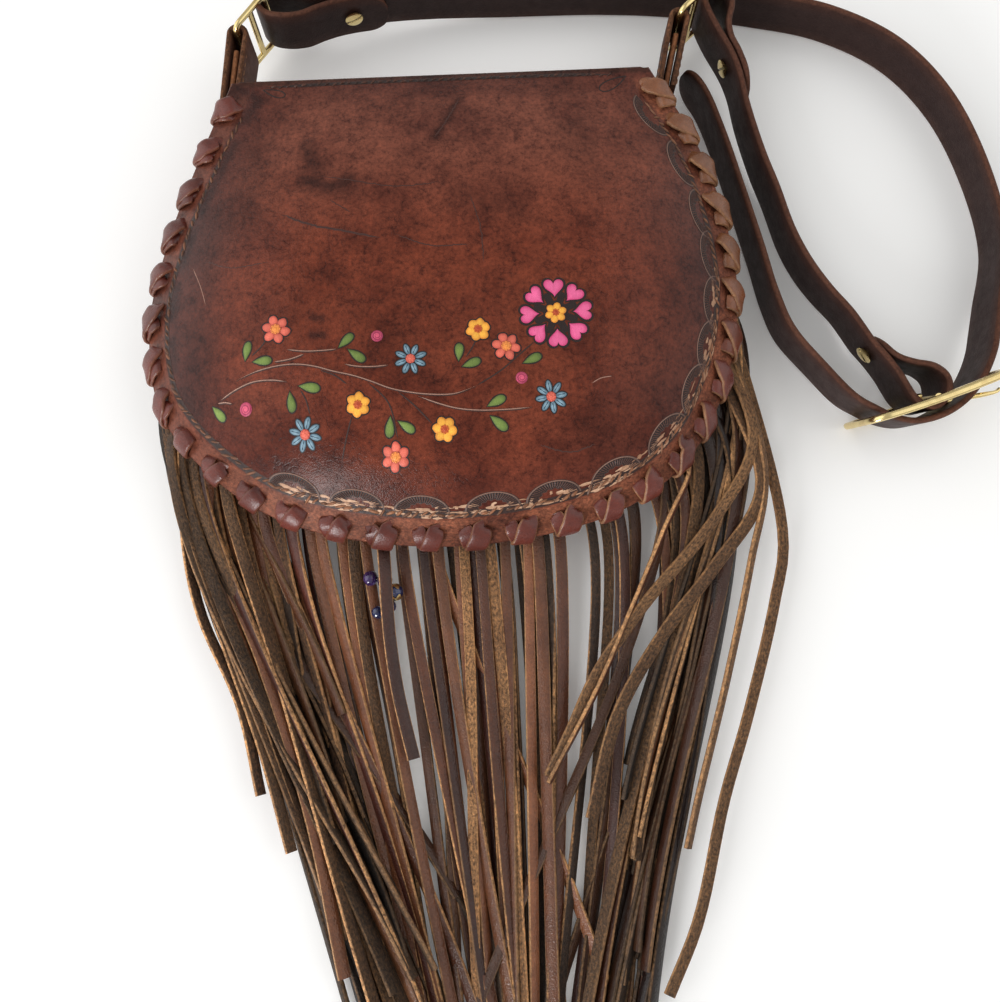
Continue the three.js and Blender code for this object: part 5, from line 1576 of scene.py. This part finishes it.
# Fringe
HEAD_MIDDLE = GUSSET_LEATHER / 2 + HEAD_GAP + HEAD_THICK / 2
HEAD_STEPS = 160
HEAD_BELOW_TOP = 3
LEAVE_SHARE = (0.25, 0.85)
SHORTNESS = 0.4
TIP_Z = 1.4
ARRIVAL_RANGE = (0.8, 1.2)
SIDE_WAVES = (0.5, 1.2)
SIDE_WAVE = 2
LIFT_WAVES = (1, 2)
LIFT_WAVE = 1.5
ROOT_STRAY = 0.35
ROOT_SHIFT = 0.4
ROOT_ENDS = (0.004, 0.996)
SIDE_BLEND = (0.1, 0.5)
MIDDLE_TONES = (0.6, 1.5)
# On the sides the strips' random tone runs darker, partly painted shade in the gaps between them
SIDE_TONES_AND_SHADE = (0.12, 0.85)
FLESH_UP = (0.14, 0.5)
STRIP_SEED_STEP = 300.0
EDGE_ON_TILT = (1.1, 1.5)
RISING = (0.6, 1.3)
RISING_STRAY = 0.15
TURN_FROM = 0.1
TURN_TO = (0.4, 0.9)
TWIST = 0.12
TWIST_WAVES = (4, 9)
STRIP_CORNER = 0.4
GRAIN_PICK = 1.3
SIDE_TONE = (0.75, 1.2)
STRIP_RIM = 0.3
STRIP_RIM_TONE = (0.6, 1.3)
ROOT_SHADE = (0.65, 0.35, 0.2)


def bezier(controls, t):
    start, leave, arrive, end = controls
    t = t[:, None]
    return start * (1 - t) ** 3 + 3 * leave * t * (1 - t) ** 2 + 3 * arrive * t ** 2 * (1 - t) + end * t ** 3


def head_root(share, height):
    return np.append(gusset_line.at(share)[0] + gusset_line.out(share)[0] * HEAD_MIDDLE, height)


def fringe_route(share, layer):
    """Middle line of one strip: out of the head band, down to the floor and on to its tip."""
    out = gusset_line.out(share)[0]
    root = head_root(share, FRINGE_ROOT_Z + layer * FRINGE_ROOT_RISE)
    swell, spread = ((FRINGE_SWELL_LEFT, FRINGE_SPREAD_LEFT) if root[0] < 0
                     else (FRINGE_SWELL_RIGHT, FRINGE_SPREAD_RIGHT))
    sideways = 1 + out[1]
    leave = root + np.append(out * swell * RNG.uniform(*LEAVE_SHARE), 0)
    leave[1] -= FRINGE_SIDE_FALL * sideways
    leave[2] = FRINGE_FALL_Z + layer * FRINGE_LAYER_RISE
    jitter = FRINGE_WILD_JITTER if RNG.random() < FRINGE_WILD else FRINGE_TIP_JITTER
    tip_x = (spread + FRINGE_SIDE_SPREAD * sideways) * root[0] + FRINGE_TIP_SHIFT + RNG.normal(0, jitter)
    tip_x = np.clip(tip_x, FRINGE_TIP_LEFT, FRINGE_TIP_RIGHT)
    drift = tip_x - root[0]
    length = FRINGE_LENGTH * (FRINGE_SHORTEST + (1 - FRINGE_SHORTEST) * RNG.random() ** SHORTNESS)
    reach = math.sqrt(length ** 2 - drift ** 2) - FRINGE_SIDE_LOSS * sideways
    tip = np.array([tip_x, root[1] - reach, TIP_Z + layer * FRINGE_LAYER_RISE])
    arrive = tip + [-FRINGE_ARRIVAL_SWEEP * drift, FRINGE_ARRIVAL * RNG.uniform(*ARRIVAL_RANGE), 0]
    t = np.linspace(0, 1, FRINGE_STATIONS)
    path = bezier((root, leave, arrive, tip), t)
    across = unit(right_of(headings(path)))
    wave = np.sin(2 * math.pi * (RNG.uniform(*SIDE_WAVES) * t + RNG.random())) * t * RNG.normal(0, SIDE_WAVE)
    path[:, :2] += across * wave[:, None]
    lift = np.sin(2 * math.pi * (RNG.uniform(*LIFT_WAVES) * t + RNG.random())) * t
    path[:, 2] += lift * RNG.uniform(0, LIFT_WAVE)
    return path, sideways


def guided_route(row):
    """Middle line of a strip that lies on top, where the photograph shows it."""
    plan = level_pixels(row["pixels"], row["z"])
    lie = np.column_stack([plan, np.linspace(row["z"], GUIDED_TIP_Z, len(plan))])
    root = head_root(row["root"], HEAD_HIGH_Z - HEAD_BELOW_TOP)
    return Curve(np.vstack([root, lie])).at(np.linspace(0, 1, FRINGE_STATIONS))


def make_fringe():
    piece = Piece("fringe_strips", MATERIALS["fringe"], "fringe_leather", "fringe")
    shares = np.linspace(FRINGE_START, FRINGE_END, HEAD_STEPS)
    out = gusset_line.out(shares)
    head = gusset_line.at(shares) + out * HEAD_MIDDLE
    standing(piece, head, out, HEAD_THICK / 2, HEAD_LOW_Z, HEAD_HIGH_Z, GRAIN_SIDES[1], STRIP_EDGE)
    gaps = level_pixels(FRINGE_GAP_PIXELS, FRINGE_FALL_Z)
    for layer in range(FRINGE_LAYERS):
        for number in range(FRINGE_PER_LAYER):
            stray = RNG.uniform(-ROOT_STRAY, ROOT_STRAY)
            place = (number + 0.5 + stray + layer / FRINGE_LAYERS - ROOT_SHIFT) / FRINGE_PER_LAYER
            share = FRINGE_START + (FRINGE_END - FRINGE_START) * np.clip(place, *ROOT_ENDS)
            loose_strip(piece, share, layer, gaps, STRIP_SEED_STEP * (layer * FRINGE_PER_LAYER + number))
    for number, row in enumerate(GUIDED_STRIPS):
        roll = np.full(FRINGE_STATIONS, float(row["turn"]))
        seed = -STRIP_SEED_STEP * (number + 1)
        fringe_strip(piece, guided_route(row), roll, row["flesh"], 1, row["edge"], seed)
    return piece.build()


def loose_strip(piece, share, layer, gaps, seed):
    """One strip of a layer, left out where the layer is thin or the photograph shows a gap."""
    path, sideways = fringe_route(share, layer)
    in_middle = sideways < FRINGE_MIDDLE_SIDEWAYS
    keep = FRINGE_MIDDLE_KEEP + [0] * FRINGE_LAYERS if in_middle else FRINGE_KEEP
    to_gap = np.linalg.norm(path[:, None, :2] - gaps[None], axis=2).min()
    if RNG.random() > keep[layer] or to_gap < FRINGE_GAP_HALF:
        return
    side_share = smooth(sideways, *SIDE_BLEND)
    # Lower layers are painted darker: painted shade under and between the strips; on the sides the random
    # tone also runs darker, partly painted shade in the gaps
    top_layer = len(FRINGE_MIDDLE_KEEP) if in_middle else FRINGE_LAYERS
    tone = FRINGE_DEEP_SHADE + (1 - FRINGE_DEEP_SHADE) * (layer + 1) / top_layer
    tone *= RNG.uniform(*MIDDLE_TONES) * (1 - side_share) + RNG.uniform(*SIDE_TONES_AND_SHADE) * side_share
    flesh_up = RNG.random() < FLESH_UP[0] + FLESH_UP[1] * side_share
    roll = fringe_roll(path, sideways, side_share)
    fringe_strip(piece, path, roll, flesh_up, max(tone, FRINGE_DARKEST_SHADE), 1, seed)


def either_way(low, high):
    return RNG.choice([-1, 1]) * RNG.uniform(low, high)


def fringe_roll(path, sideways, side_share):
    """Turn of a strip about its own line: on edge where it leaves the sides, flatter in the middle."""
    t = np.linspace(0, 1, FRINGE_STATIONS)
    side = 1 if path[0, 0] > 0 else -1
    lying = either_way(*FRINGE_TILT)
    if RNG.random() < side_share:
        lying = either_way(*FRINGE_SIDE_TILT)
    elif RNG.random() < FRINGE_EDGE_ON:
        lying = either_way(*EDGE_ON_TILT)
    rising = side * sideways * RNG.uniform(*RISING) + RNG.normal(0, RISING_STRAY)
    turn = smooth(t, TURN_FROM, RNG.uniform(*TURN_TO))
    return rising * (1 - turn) + lying * turn + RNG.normal(0, TWIST) * np.sin(t * RNG.uniform(*TWIST_WAVES))


def fringe_strip(piece, path, roll, flesh_up, tone, edge_light, seed):
    width = RNG.uniform(*FRINGE_WIDTH_RANGE)
    cosine, sine = np.cos(roll), np.sin(roll)
    clear = FLOOR_GAP + np.abs(sine) * width / 2 + np.abs(cosine) * FRINGE_THICK / 2
    path[:, 2] = np.maximum(path[:, 2], clear)
    flat_side, flat_up = framed(path, (0, 0, 1.0))
    side = flat_side * cosine[:, None] + flat_up * sine[:, None]
    up = flat_up * cosine[:, None] - flat_side * sine[:, None]
    section = box_section(width, FRINGE_THICK, STRIP_CORNER, 1)
    grain = GRAIN_SIDES[int(len(GRAIN_SIDES) * RNG.random() ** GRAIN_PICK)] * RNG.uniform(*SIDE_TONE)
    flesh = FLESH_SIDES[RNG.integers(len(FLESH_SIDES))] * RNG.uniform(*SIDE_TONE)
    top, bottom = (flesh, grain) if flesh_up else (grain, flesh)
    at_edge = np.abs(section[:, 0]) > width / 2 - STRIP_RIM
    tints = np.where((section[:, 1] > 0)[:, None], top, bottom)
    tints = np.where(at_edge[:, None], STRIP_EDGE * edge_light * RNG.uniform(*STRIP_RIM_TONE), tints)
    t = np.linspace(0, 1, len(path))
    dark, gain, lit = ROOT_SHADE
    shaded = tone * FRINGE_TONE * (dark + gain * smooth(t, 0, lit)) * (1 - FRINGE_TIP_LOSS * t)
    tints = np.repeat(tints[None], len(path), axis=0)
    tints[..., :3] *= shaded[:, None, None]
    tints[..., 3] = np.minimum(tints[..., 3], 1)
    sweep(piece, path, side, up, section, tints, seed=seed)


# Tabs, rings, straps, buckle and screws
TAB_LEG_STEPS = 20
TAB_SEED = 70
TAB_STITCHES = {"start": 5, "stop": 9, "pitch": 4.2, "from_edge": 3}
UP = (0, 0, 1.0)
HARDWARE_STEPS = 30
RING_STEP = 0.8
RING_SECTION = (RING_BAR, RING_DEPTH, 16, 0.85)
BUCKLE_STEP = 0.9
BUCKLE_SECTION = (BUCKLE_BAR, BUCKLE_DEPTH, 20, 0.8)
BUCKLE_BOW_SHARE = 0.8
BUCKLE_SWELL = 0.12
FRAME_CORNER_STEPS = 8
CENTRE_BAR_SIDES = 20


def make_tab(side):
    piece = Piece("tab_" + side + "_leather", MATERIALS["body"], "body_leather", "tab_" + side)
    base, bar, along, across, length = tongue_frame(side)
    wrap = math.hypot(RING_BAR, RING_DEPTH) / 2 + SEAT_GAP + TAB_LEATHER / 2
    leg = (GUSSET_LEATHER + 2 * SEAT_GAP + TAB_LEATHER) / 2
    foot = base + along * TAB_FOOT
    angle = np.linspace(0, math.pi, TAB_ARC_STEPS + 1)
    arc = bar + np.outer(np.cos(angle) * wrap, across) + np.outer(np.sin(angle) * wrap, along)
    rise = np.linspace(0, 1, TAB_LEG_STEPS)[:-1]
    first = between(foot + across * leg, arc[0], rise)
    last = between(foot - across * leg, arc[-1], rise)[::-1]
    route = np.vstack([first, arc, last])
    low, high = RING_CENTRE_Z - TAB_HEIGHT / 2, RING_CENTRE_Z + TAB_HEIGHT / 2
    out = right_of(headings(route))
    standing(piece, route, out, TAB_SHOWN / 2, low, high, TAB_FACE, TAB_EDGE, seed=TAB_SEED)
    rows = TAB_STITCHES
    for outward in (across, -across):
        for run in np.arange(rows["start"], length - rows["stop"], rows["pitch"]):
            place = base + along * run + outward * (leg + TAB_SHOWN / 2)
            for height in (low + rows["from_edge"], high - rows["from_edge"]):
                wall_stitch(piece, place, along, outward, height)
    return piece.build()


def plate_path(loop, centre, heading):
    """A loop's run along an upright plate and its height, carried to their place."""
    return np.column_stack([centre[0] + loop[:, 0] * heading[0], centre[1] + loop[:, 0] * heading[1],
                            centre[2] + loop[:, 1]])


def resampled(path, step):
    closed = np.vstack([path, path[:1]])
    runs = runs_along(closed)
    places = np.linspace(0, runs[-1], int(runs[-1] / step), endpoint=False)
    return np.stack([np.interp(places, runs, column) for column in closed.T], axis=1)


def frame_loop(length, height, corner, step):
    """Middle line of an upright frame's rounded rectangle: run along it and height, from its centre."""
    return resampled(box_section(length, height, corner, FRAME_CORNER_STEPS), step)


def make_ring(side):
    piece = Piece("ring_" + side + "_brass", MATERIALS["brass"], "brass", "ring_" + side)
    ring = RINGS[side]
    heading = np.array(ring["towards"])
    centre = np.append(np.array(ring["far"]) + heading * RING_BAR_SPACING, RING_CENTRE_Z)
    tall = RING_HEIGHT - RING_BAR
    path = plate_path(frame_loop(2 * RING_BAR_SPACING, tall, RING_CORNER, RING_STEP), centre, heading)
    flat = np.append(right_of(heading), 0)
    section = oval_section(*RING_SECTION)
    rod(piece, path, flat, section, BRASS, loop=True)
    bar = centre + np.outer(np.linspace(-1, 1, HARDWARE_STEPS) * tall / 2, UP)
    rod(piece, bar, flat, section, BRASS)
    return piece.build()


def leaned(places):
    """The buckle and the straps in it lean: their feet stand further up the bag than their tops."""
    away = np.hypot(places[..., 0] - BUCKLE_CENTRE[0], places[..., 1] - BUCKLE_CENTRE[1])
    share = (1 - smooth(away, LEAN_NEAR, LEAN_FAR)) * LEAN_SLOPE * (LEAN_PIVOT_Z - places[..., 2])
    shifted = places.copy()
    shifted[..., 0] -= math.sin(BUCKLE_ANGLE) * share
    shifted[..., 1] += math.cos(BUCKLE_ANGLE) * share
    return shifted


def buckle_place(a, b):
    cosine, sine = math.cos(BUCKLE_ANGLE), math.sin(BUCKLE_ANGLE)
    return BUCKLE_CENTRE + np.stack([a * cosine - b * sine, a * sine + b * cosine], axis=-1)


def buckle_rows(rows):
    return [(*buckle_place(a, b), base) for a, b, base in rows]


long_rows = LONG_STRAP_BEFORE + buckle_rows(LONG_STRAP_IN_BUCKLE) + LONG_STRAP_TAIL
short_rows = SHORT_STRAP_BEFORE + buckle_rows(SHORT_STRAP_IN_BUCKLE)


SCREW_EDGE = {"flare": 0.4, "low": 0.3, "rim": 0.5, "middle": 0.05, "dome": 0.15}
SCREW_SLOT_SIDES = (0.6, 1.25)
SCREW_FLOOR = 0.2
SCREW_SLOT_SHADE = 0.25
POST_STEPS = 8
POST_SIDES = 24
EYE_TURN = (0.35, 1.25)
EYE_STEPS = 16
EYE_EVERY = 3
EYE_SUNK = 0.5
PRONG_STEPS = 90
PRONG_SLIM = (0.35, 0.75)
PRONG_SECTION = (PRONG_THICK, PRONG_WIDTH, 18, 0.8)


def make_strap(name, rows):
    piece = Piece(name + "_leather", MATERIALS["strap"], "strap_leather", name)
    curve = Curve(rows)
    shares = np.linspace(0, 1, int(curve.length / STRAP_STEP))
    route = curve.at(shares)
    plan, foot = route[:, :2], route[:, 2]
    to_end = np.minimum(shares, 1 - shares) * curve.length
    short = np.clip(1 - to_end / STRAP_END_ROUND, 0, 1)
    trim = (1 - np.sqrt(1 - short ** 2)) * (STRAP_WIDTH / 2 - STRAP_LEATHER)
    standing(piece, plan, right_of(headings(plan)), STRAP_LEATHER / 2, foot + trim, foot + STRAP_WIDTH - trim,
             STRAP_FACE, STRAP_RIM, shape=leaned)
    return piece.build()


def make_screw(name, rows):
    piece = Piece(name + "_brass", MATERIALS["brass"], "brass", name)
    start, near, far = (np.array(rows[k], float) for k in SCREW_ROWS[name])
    along = unit((near - start)[:2])
    across = right_of(along)
    spread = abs((far - near)[:2] @ across)
    centre = (near + far) / 2 + [0, 0, STRAP_WIDTH / 2]
    axes = np.array([np.append(along, 0), UP])
    outward = np.append(across, 0)
    seat = (spread + STRAP_LEATHER) / 2 + SCREW_SEAT
    radius, height = screw_profile()
    angle = circle(SCREW_SIDES)
    flat = np.stack([radius[:, None] * np.cos(angle), radius[:, None] * np.sin(angle)], axis=-1)
    slot_axis = RNG.uniform(0, math.pi)
    to_slot = np.abs(flat[..., 0] * math.sin(slot_axis) - flat[..., 1] * math.cos(slot_axis))
    sunk = (1 - smooth(to_slot, *(SCREW_SLOT * side for side in SCREW_SLOT_SIDES))) * SCREW_SLOT_DEPTH
    sunk[:3] = 0
    rise = np.maximum(seat + height[:, None] - sunk, seat + SCREW_FLOOR)
    rise[:2] = seat
    # The slot is painted darker than the brass round it: painted shade in the slot
    tints = between(BRASS, BRASS * SCREW_SLOT_SHADE, sunk / SCREW_SLOT_DEPTH)
    for sign in (1, -1):
        piece.grid(leaned(centre + flat @ axes + sign * rise[..., None] * outward), tints, ring=True)
    post = centre + np.outer(np.linspace(-seat, seat, POST_STEPS), outward)
    size = 2 * SCREW_POST_RADIUS
    rod(piece, post, UP, oval_section(size, size, POST_SIDES, 1.0), BRASS, shape=leaned)
    return piece.build()


def screw_profile():
    """Radius and height of a screw head's rings: under side, rim and dome."""
    edge = SCREW_EDGE
    dome_radius = np.linspace(SCREW_HEAD_RADIUS, edge["middle"], SCREW_RINGS)
    dome = np.sqrt(np.clip(1 - (dome_radius / (SCREW_HEAD_RADIUS + edge["dome"])) ** 2, 0, 1))
    rim = [SCREW_POST_RADIUS, SCREW_HEAD_RADIUS - edge["flare"], SCREW_HEAD_RADIUS]
    height = edge["rim"] + dome * (SCREW_HEAD_HEIGHT - edge["rim"])
    return np.concatenate([rim, dome_radius]), np.concatenate([[0, 0, edge["low"]], height])


def make_buckle():
    piece = Piece("buckle_frame_brass", MATERIALS["brass"], "brass", "buckle_frame")
    tall = BUCKLE_HEIGHT - BUCKLE_BAR
    loop = frame_loop(BUCKLE_LENGTH - BUCKLE_BAR, tall, BUCKLE_CORNER, BUCKLE_STEP)
    bow = BUCKLE_BOW * (1 - (2 * loop[:, 0] / BUCKLE_LENGTH) ** 2) * np.sign(loop[:, 1])
    plan = buckle_place(loop[:, 0], -np.abs(bow) * BUCKLE_BOW_SHARE)
    path = np.column_stack([plan, BUCKLE_MIDDLE_Z + loop[:, 1]])
    flat = np.append(buckle_place(0.0, 1.0) - BUCKLE_CENTRE, 0)
    thick = 1 + BUCKLE_SWELL * loop[:, 0] / (BUCKLE_LENGTH / 2)
    rod(piece, path, flat, oval_section(*BUCKLE_SECTION), BRASS, loop=True,
        taper=np.column_stack([thick, thick]), shape=leaned)
    foot = np.append(buckle_place(*map(float, CENTRE_BAR)), BUCKLE_MIDDLE_Z)
    bar = foot + np.outer(np.linspace(-1, 1, HARDWARE_STEPS) * tall / 2, UP)
    size = 2 * CENTRE_BAR_RADIUS
    rod(piece, bar, flat, oval_section(size, size, CENTRE_BAR_SIDES, 1.0), BRASS, shape=leaned)
    return piece.build()


def make_tongue():
    piece = Piece("buckle_tongue_brass", MATERIALS["brass"], "brass", "buckle_tongue")
    turn = np.linspace(*(math.pi * share for share in EYE_TURN), EYE_STEPS)
    radius = CENTRE_BAR_RADIUS + SEAT_GAP + PRONG_THICK / 2 - EYE_SUNK
    eye = np.column_stack([CENTRE_BAR[0] + radius * np.cos(turn), CENTRE_BAR[1] + radius * np.sin(turn)])
    rows = Curve(np.vstack([eye[::EYE_EVERY], PRONG])).at(np.linspace(0, 1, PRONG_STEPS))
    path = np.column_stack([buckle_place(rows[:, 0], rows[:, 1]), np.full(len(rows), BUCKLE_MIDDLE_Z)])
    slim = 1 - PRONG_SLIM[0] * smooth(np.linspace(0, 1, len(path)), PRONG_SLIM[1], 1)
    rod(piece, path, UP, oval_section(*PRONG_SECTION), BRASS,
        taper=np.column_stack([slim, slim]), shape=leaned)
    return piece.build()


# Beads
THREAD_STEPS = 60
THREAD_SIDES = 8
BEAD_HOLE = 0.16
BEAD_FLAT = 0.94
BEAD_FACET = 0.05
BEAD_FACETS = 4
BEAD_TONE = (0.8, 1.2)
CAP_TURN = (0.18, 1.05, 8)
CAP_SIDES = 48
CAP_PETALS = 6
CAP_PETAL_REACH = 0.22
CAP_GAP = 0.35
CAP_FLAT = 0.96


def make_beads():
    piece = Piece("bead_charm_glass", MATERIALS["glass"], "bead_glass", "bead_charm")
    trim = Piece("bead_charm_cap", MATERIALS["brass"], "brass")
    places = np.array([row[:3] for row in BEADS], float)
    thread = Curve(places).at(np.linspace(0, 1, THREAD_STEPS))
    size = 2 * THREAD_RADIUS
    rod(piece, thread, UP, oval_section(size, size, THREAD_SIDES, 1.0), THREAD)
    for place, (*_, radius, kind), axis in zip(places, BEADS, headings(places)):
        bead(piece, place, axis, radius, BEAD_TINTS["blue" if kind == "cap" else kind])
        if kind == "cap":
            for sign in (1, -1):
                bead_cap(trim, place, axis * sign, radius)
    trim.build()
    return piece.build()


def bead_rings(centre, axis, along, across, angle):
    """Rings round a bead's axis at these distances along it and from it."""
    side = unit(np.cross(axis, UP))
    up = np.cross(side, axis)
    return (centre + along[..., None] * axis + (across * np.cos(angle))[..., None] * side
            + (across * np.sin(angle))[..., None] * up)


def bead(piece, centre, axis, radius, tint):
    """Pressed glass bead: rounded and a little faceted, its ends closed flat where the thread goes in."""
    turn = np.linspace(BEAD_HOLE, math.pi - BEAD_HOLE, BEAD_BANDS)[:, None]
    angle = circle(BEAD_SIDES)
    facet = 1 - BEAD_FACET * np.abs(np.sin(angle * BEAD_FACETS)) * np.sin(turn)
    along, across = -np.cos(turn) * radius * BEAD_FLAT, np.sin(turn) * radius * facet
    places = bead_rings(centre, axis, along, across, angle)
    piece.grid(places, tint * RNG.uniform(*BEAD_TONE), ring=True, caps=True)


def bead_cap(piece, centre, axis, radius):
    """Petalled metal cap over one end of a bead."""
    turn = np.linspace(*CAP_TURN)[:, None]
    angle = circle(CAP_SIDES)
    reach = turn * (1 + CAP_PETAL_REACH * np.cos(angle * CAP_PETALS) * (turn / turn[-1]) ** 2)
    shell = radius + CAP_GAP
    along, across = np.cos(reach) * shell * CAP_FLAT, np.sin(reach) * shell
    piece.grid(bead_rings(centre, axis, along, across, angle), BRASS, ring=True)


# Floor, lights and camera
FLOOR_HALF = 3.0
FLOOR_Z = -0.0003
WORLD_COLOUR = (1.0, 0.99, 0.96, 1)
WORLD_STRENGTH = 0.53
LIGHTS = [
    {"name": "left_window", "place": (-1.9, 0.3, 1.3), "size": 3.0, "height": 3.0, "power": 31.0},
    {"name": "front_window", "place": (-0.9, -1.36, 0.2), "size": 1.5, "height": 0.36, "power": 30.0},
    {"name": "right_fill", "place": (1.9, 0.4, 1.3), "size": 3.0, "height": 3.0, "power": 20.0},
]
AIM = np.array([0.0, 0.0, 0.03])
LAMP_UP = (0, 1, 0.1)
CLIP_START = 0.01


def make_stage():
    corners = [(x * FLOOR_HALF, y * FLOOR_HALF, FLOOR_Z) for x, y in ((-1, -1), (1, -1), (1, 1), (-1, 1))]
    mesh = bpy.data.meshes.new("floor")
    mesh.from_pydata(corners, [], [(0, 1, 2, 3)])
    mesh.materials.append(backdrop("table_top"))
    floor = bpy.data.objects.new("floor", mesh)
    bpy.context.scene.collection.objects.link(floor)


def facing(place, back, up):
    """Matrix of an object at a place whose local z points back and y up."""
    back, up = unit(np.asarray(back, float)), np.asarray(up, float)
    right = unit(np.cross(up, back))
    columns = np.column_stack([right, np.cross(back, right), back, place])
    return Matrix([*columns.tolist(), [0, 0, 0, 1]])


def make_lights():
    scene = bpy.context.scene
    world = bpy.data.worlds.new("studio")
    world.use_nodes = True
    background = world.node_tree.nodes["Background"]
    background.inputs["Color"].default_value = WORLD_COLOUR
    background.inputs["Strength"].default_value = WORLD_STRENGTH
    scene.world = world
    for row in LIGHTS:
        lamp = bpy.data.lights.new(row["name"], "AREA")
        lamp.shape = "RECTANGLE"
        lamp.size, lamp.size_y = row["size"], row["height"]
        lamp.energy = row["power"]
        made = bpy.data.objects.new(row["name"], lamp)
        made.matrix_world = facing(row["place"], np.array(row["place"]) - AIM, LAMP_UP)
        scene.collection.objects.link(made)


def make_camera():
    scene = bpy.context.scene
    lens = bpy.data.cameras.new("photo_camera")
    lens.sensor_width = SENSOR
    lens.lens = FOCAL_PX / IMAGE_LONG_SIDE * SENSOR
    lens.clip_start = CLIP_START
    camera = bpy.data.objects.new("photo_camera", lens)
    camera.matrix_world = facing(EYE * MM, -SIGHT_AHEAD, SIGHT_UP)
    scene.collection.objects.link(camera)
    scene.camera = camera
    scene.view_settings.view_transform = "Standard"
    scene.view_settings.look = "None"


make_camera()
make_stage()
make_lights()
make_back()
make_gusset()
make_front()
make_flap()
make_stitching()
make_stamps()
make_motifs()
make_lacing()
make_fringe()
for part_side in ("left", "right"):
    make_tab(part_side)
    make_ring(part_side)
make_strap("strap_long", long_rows)
make_strap("strap_short", short_rows)
for screw_name in SCREW_ROWS:
    make_screw(screw_name, long_rows if screw_name == "screw_left" else short_rows)
make_buckle()
make_tongue()
make_beads()
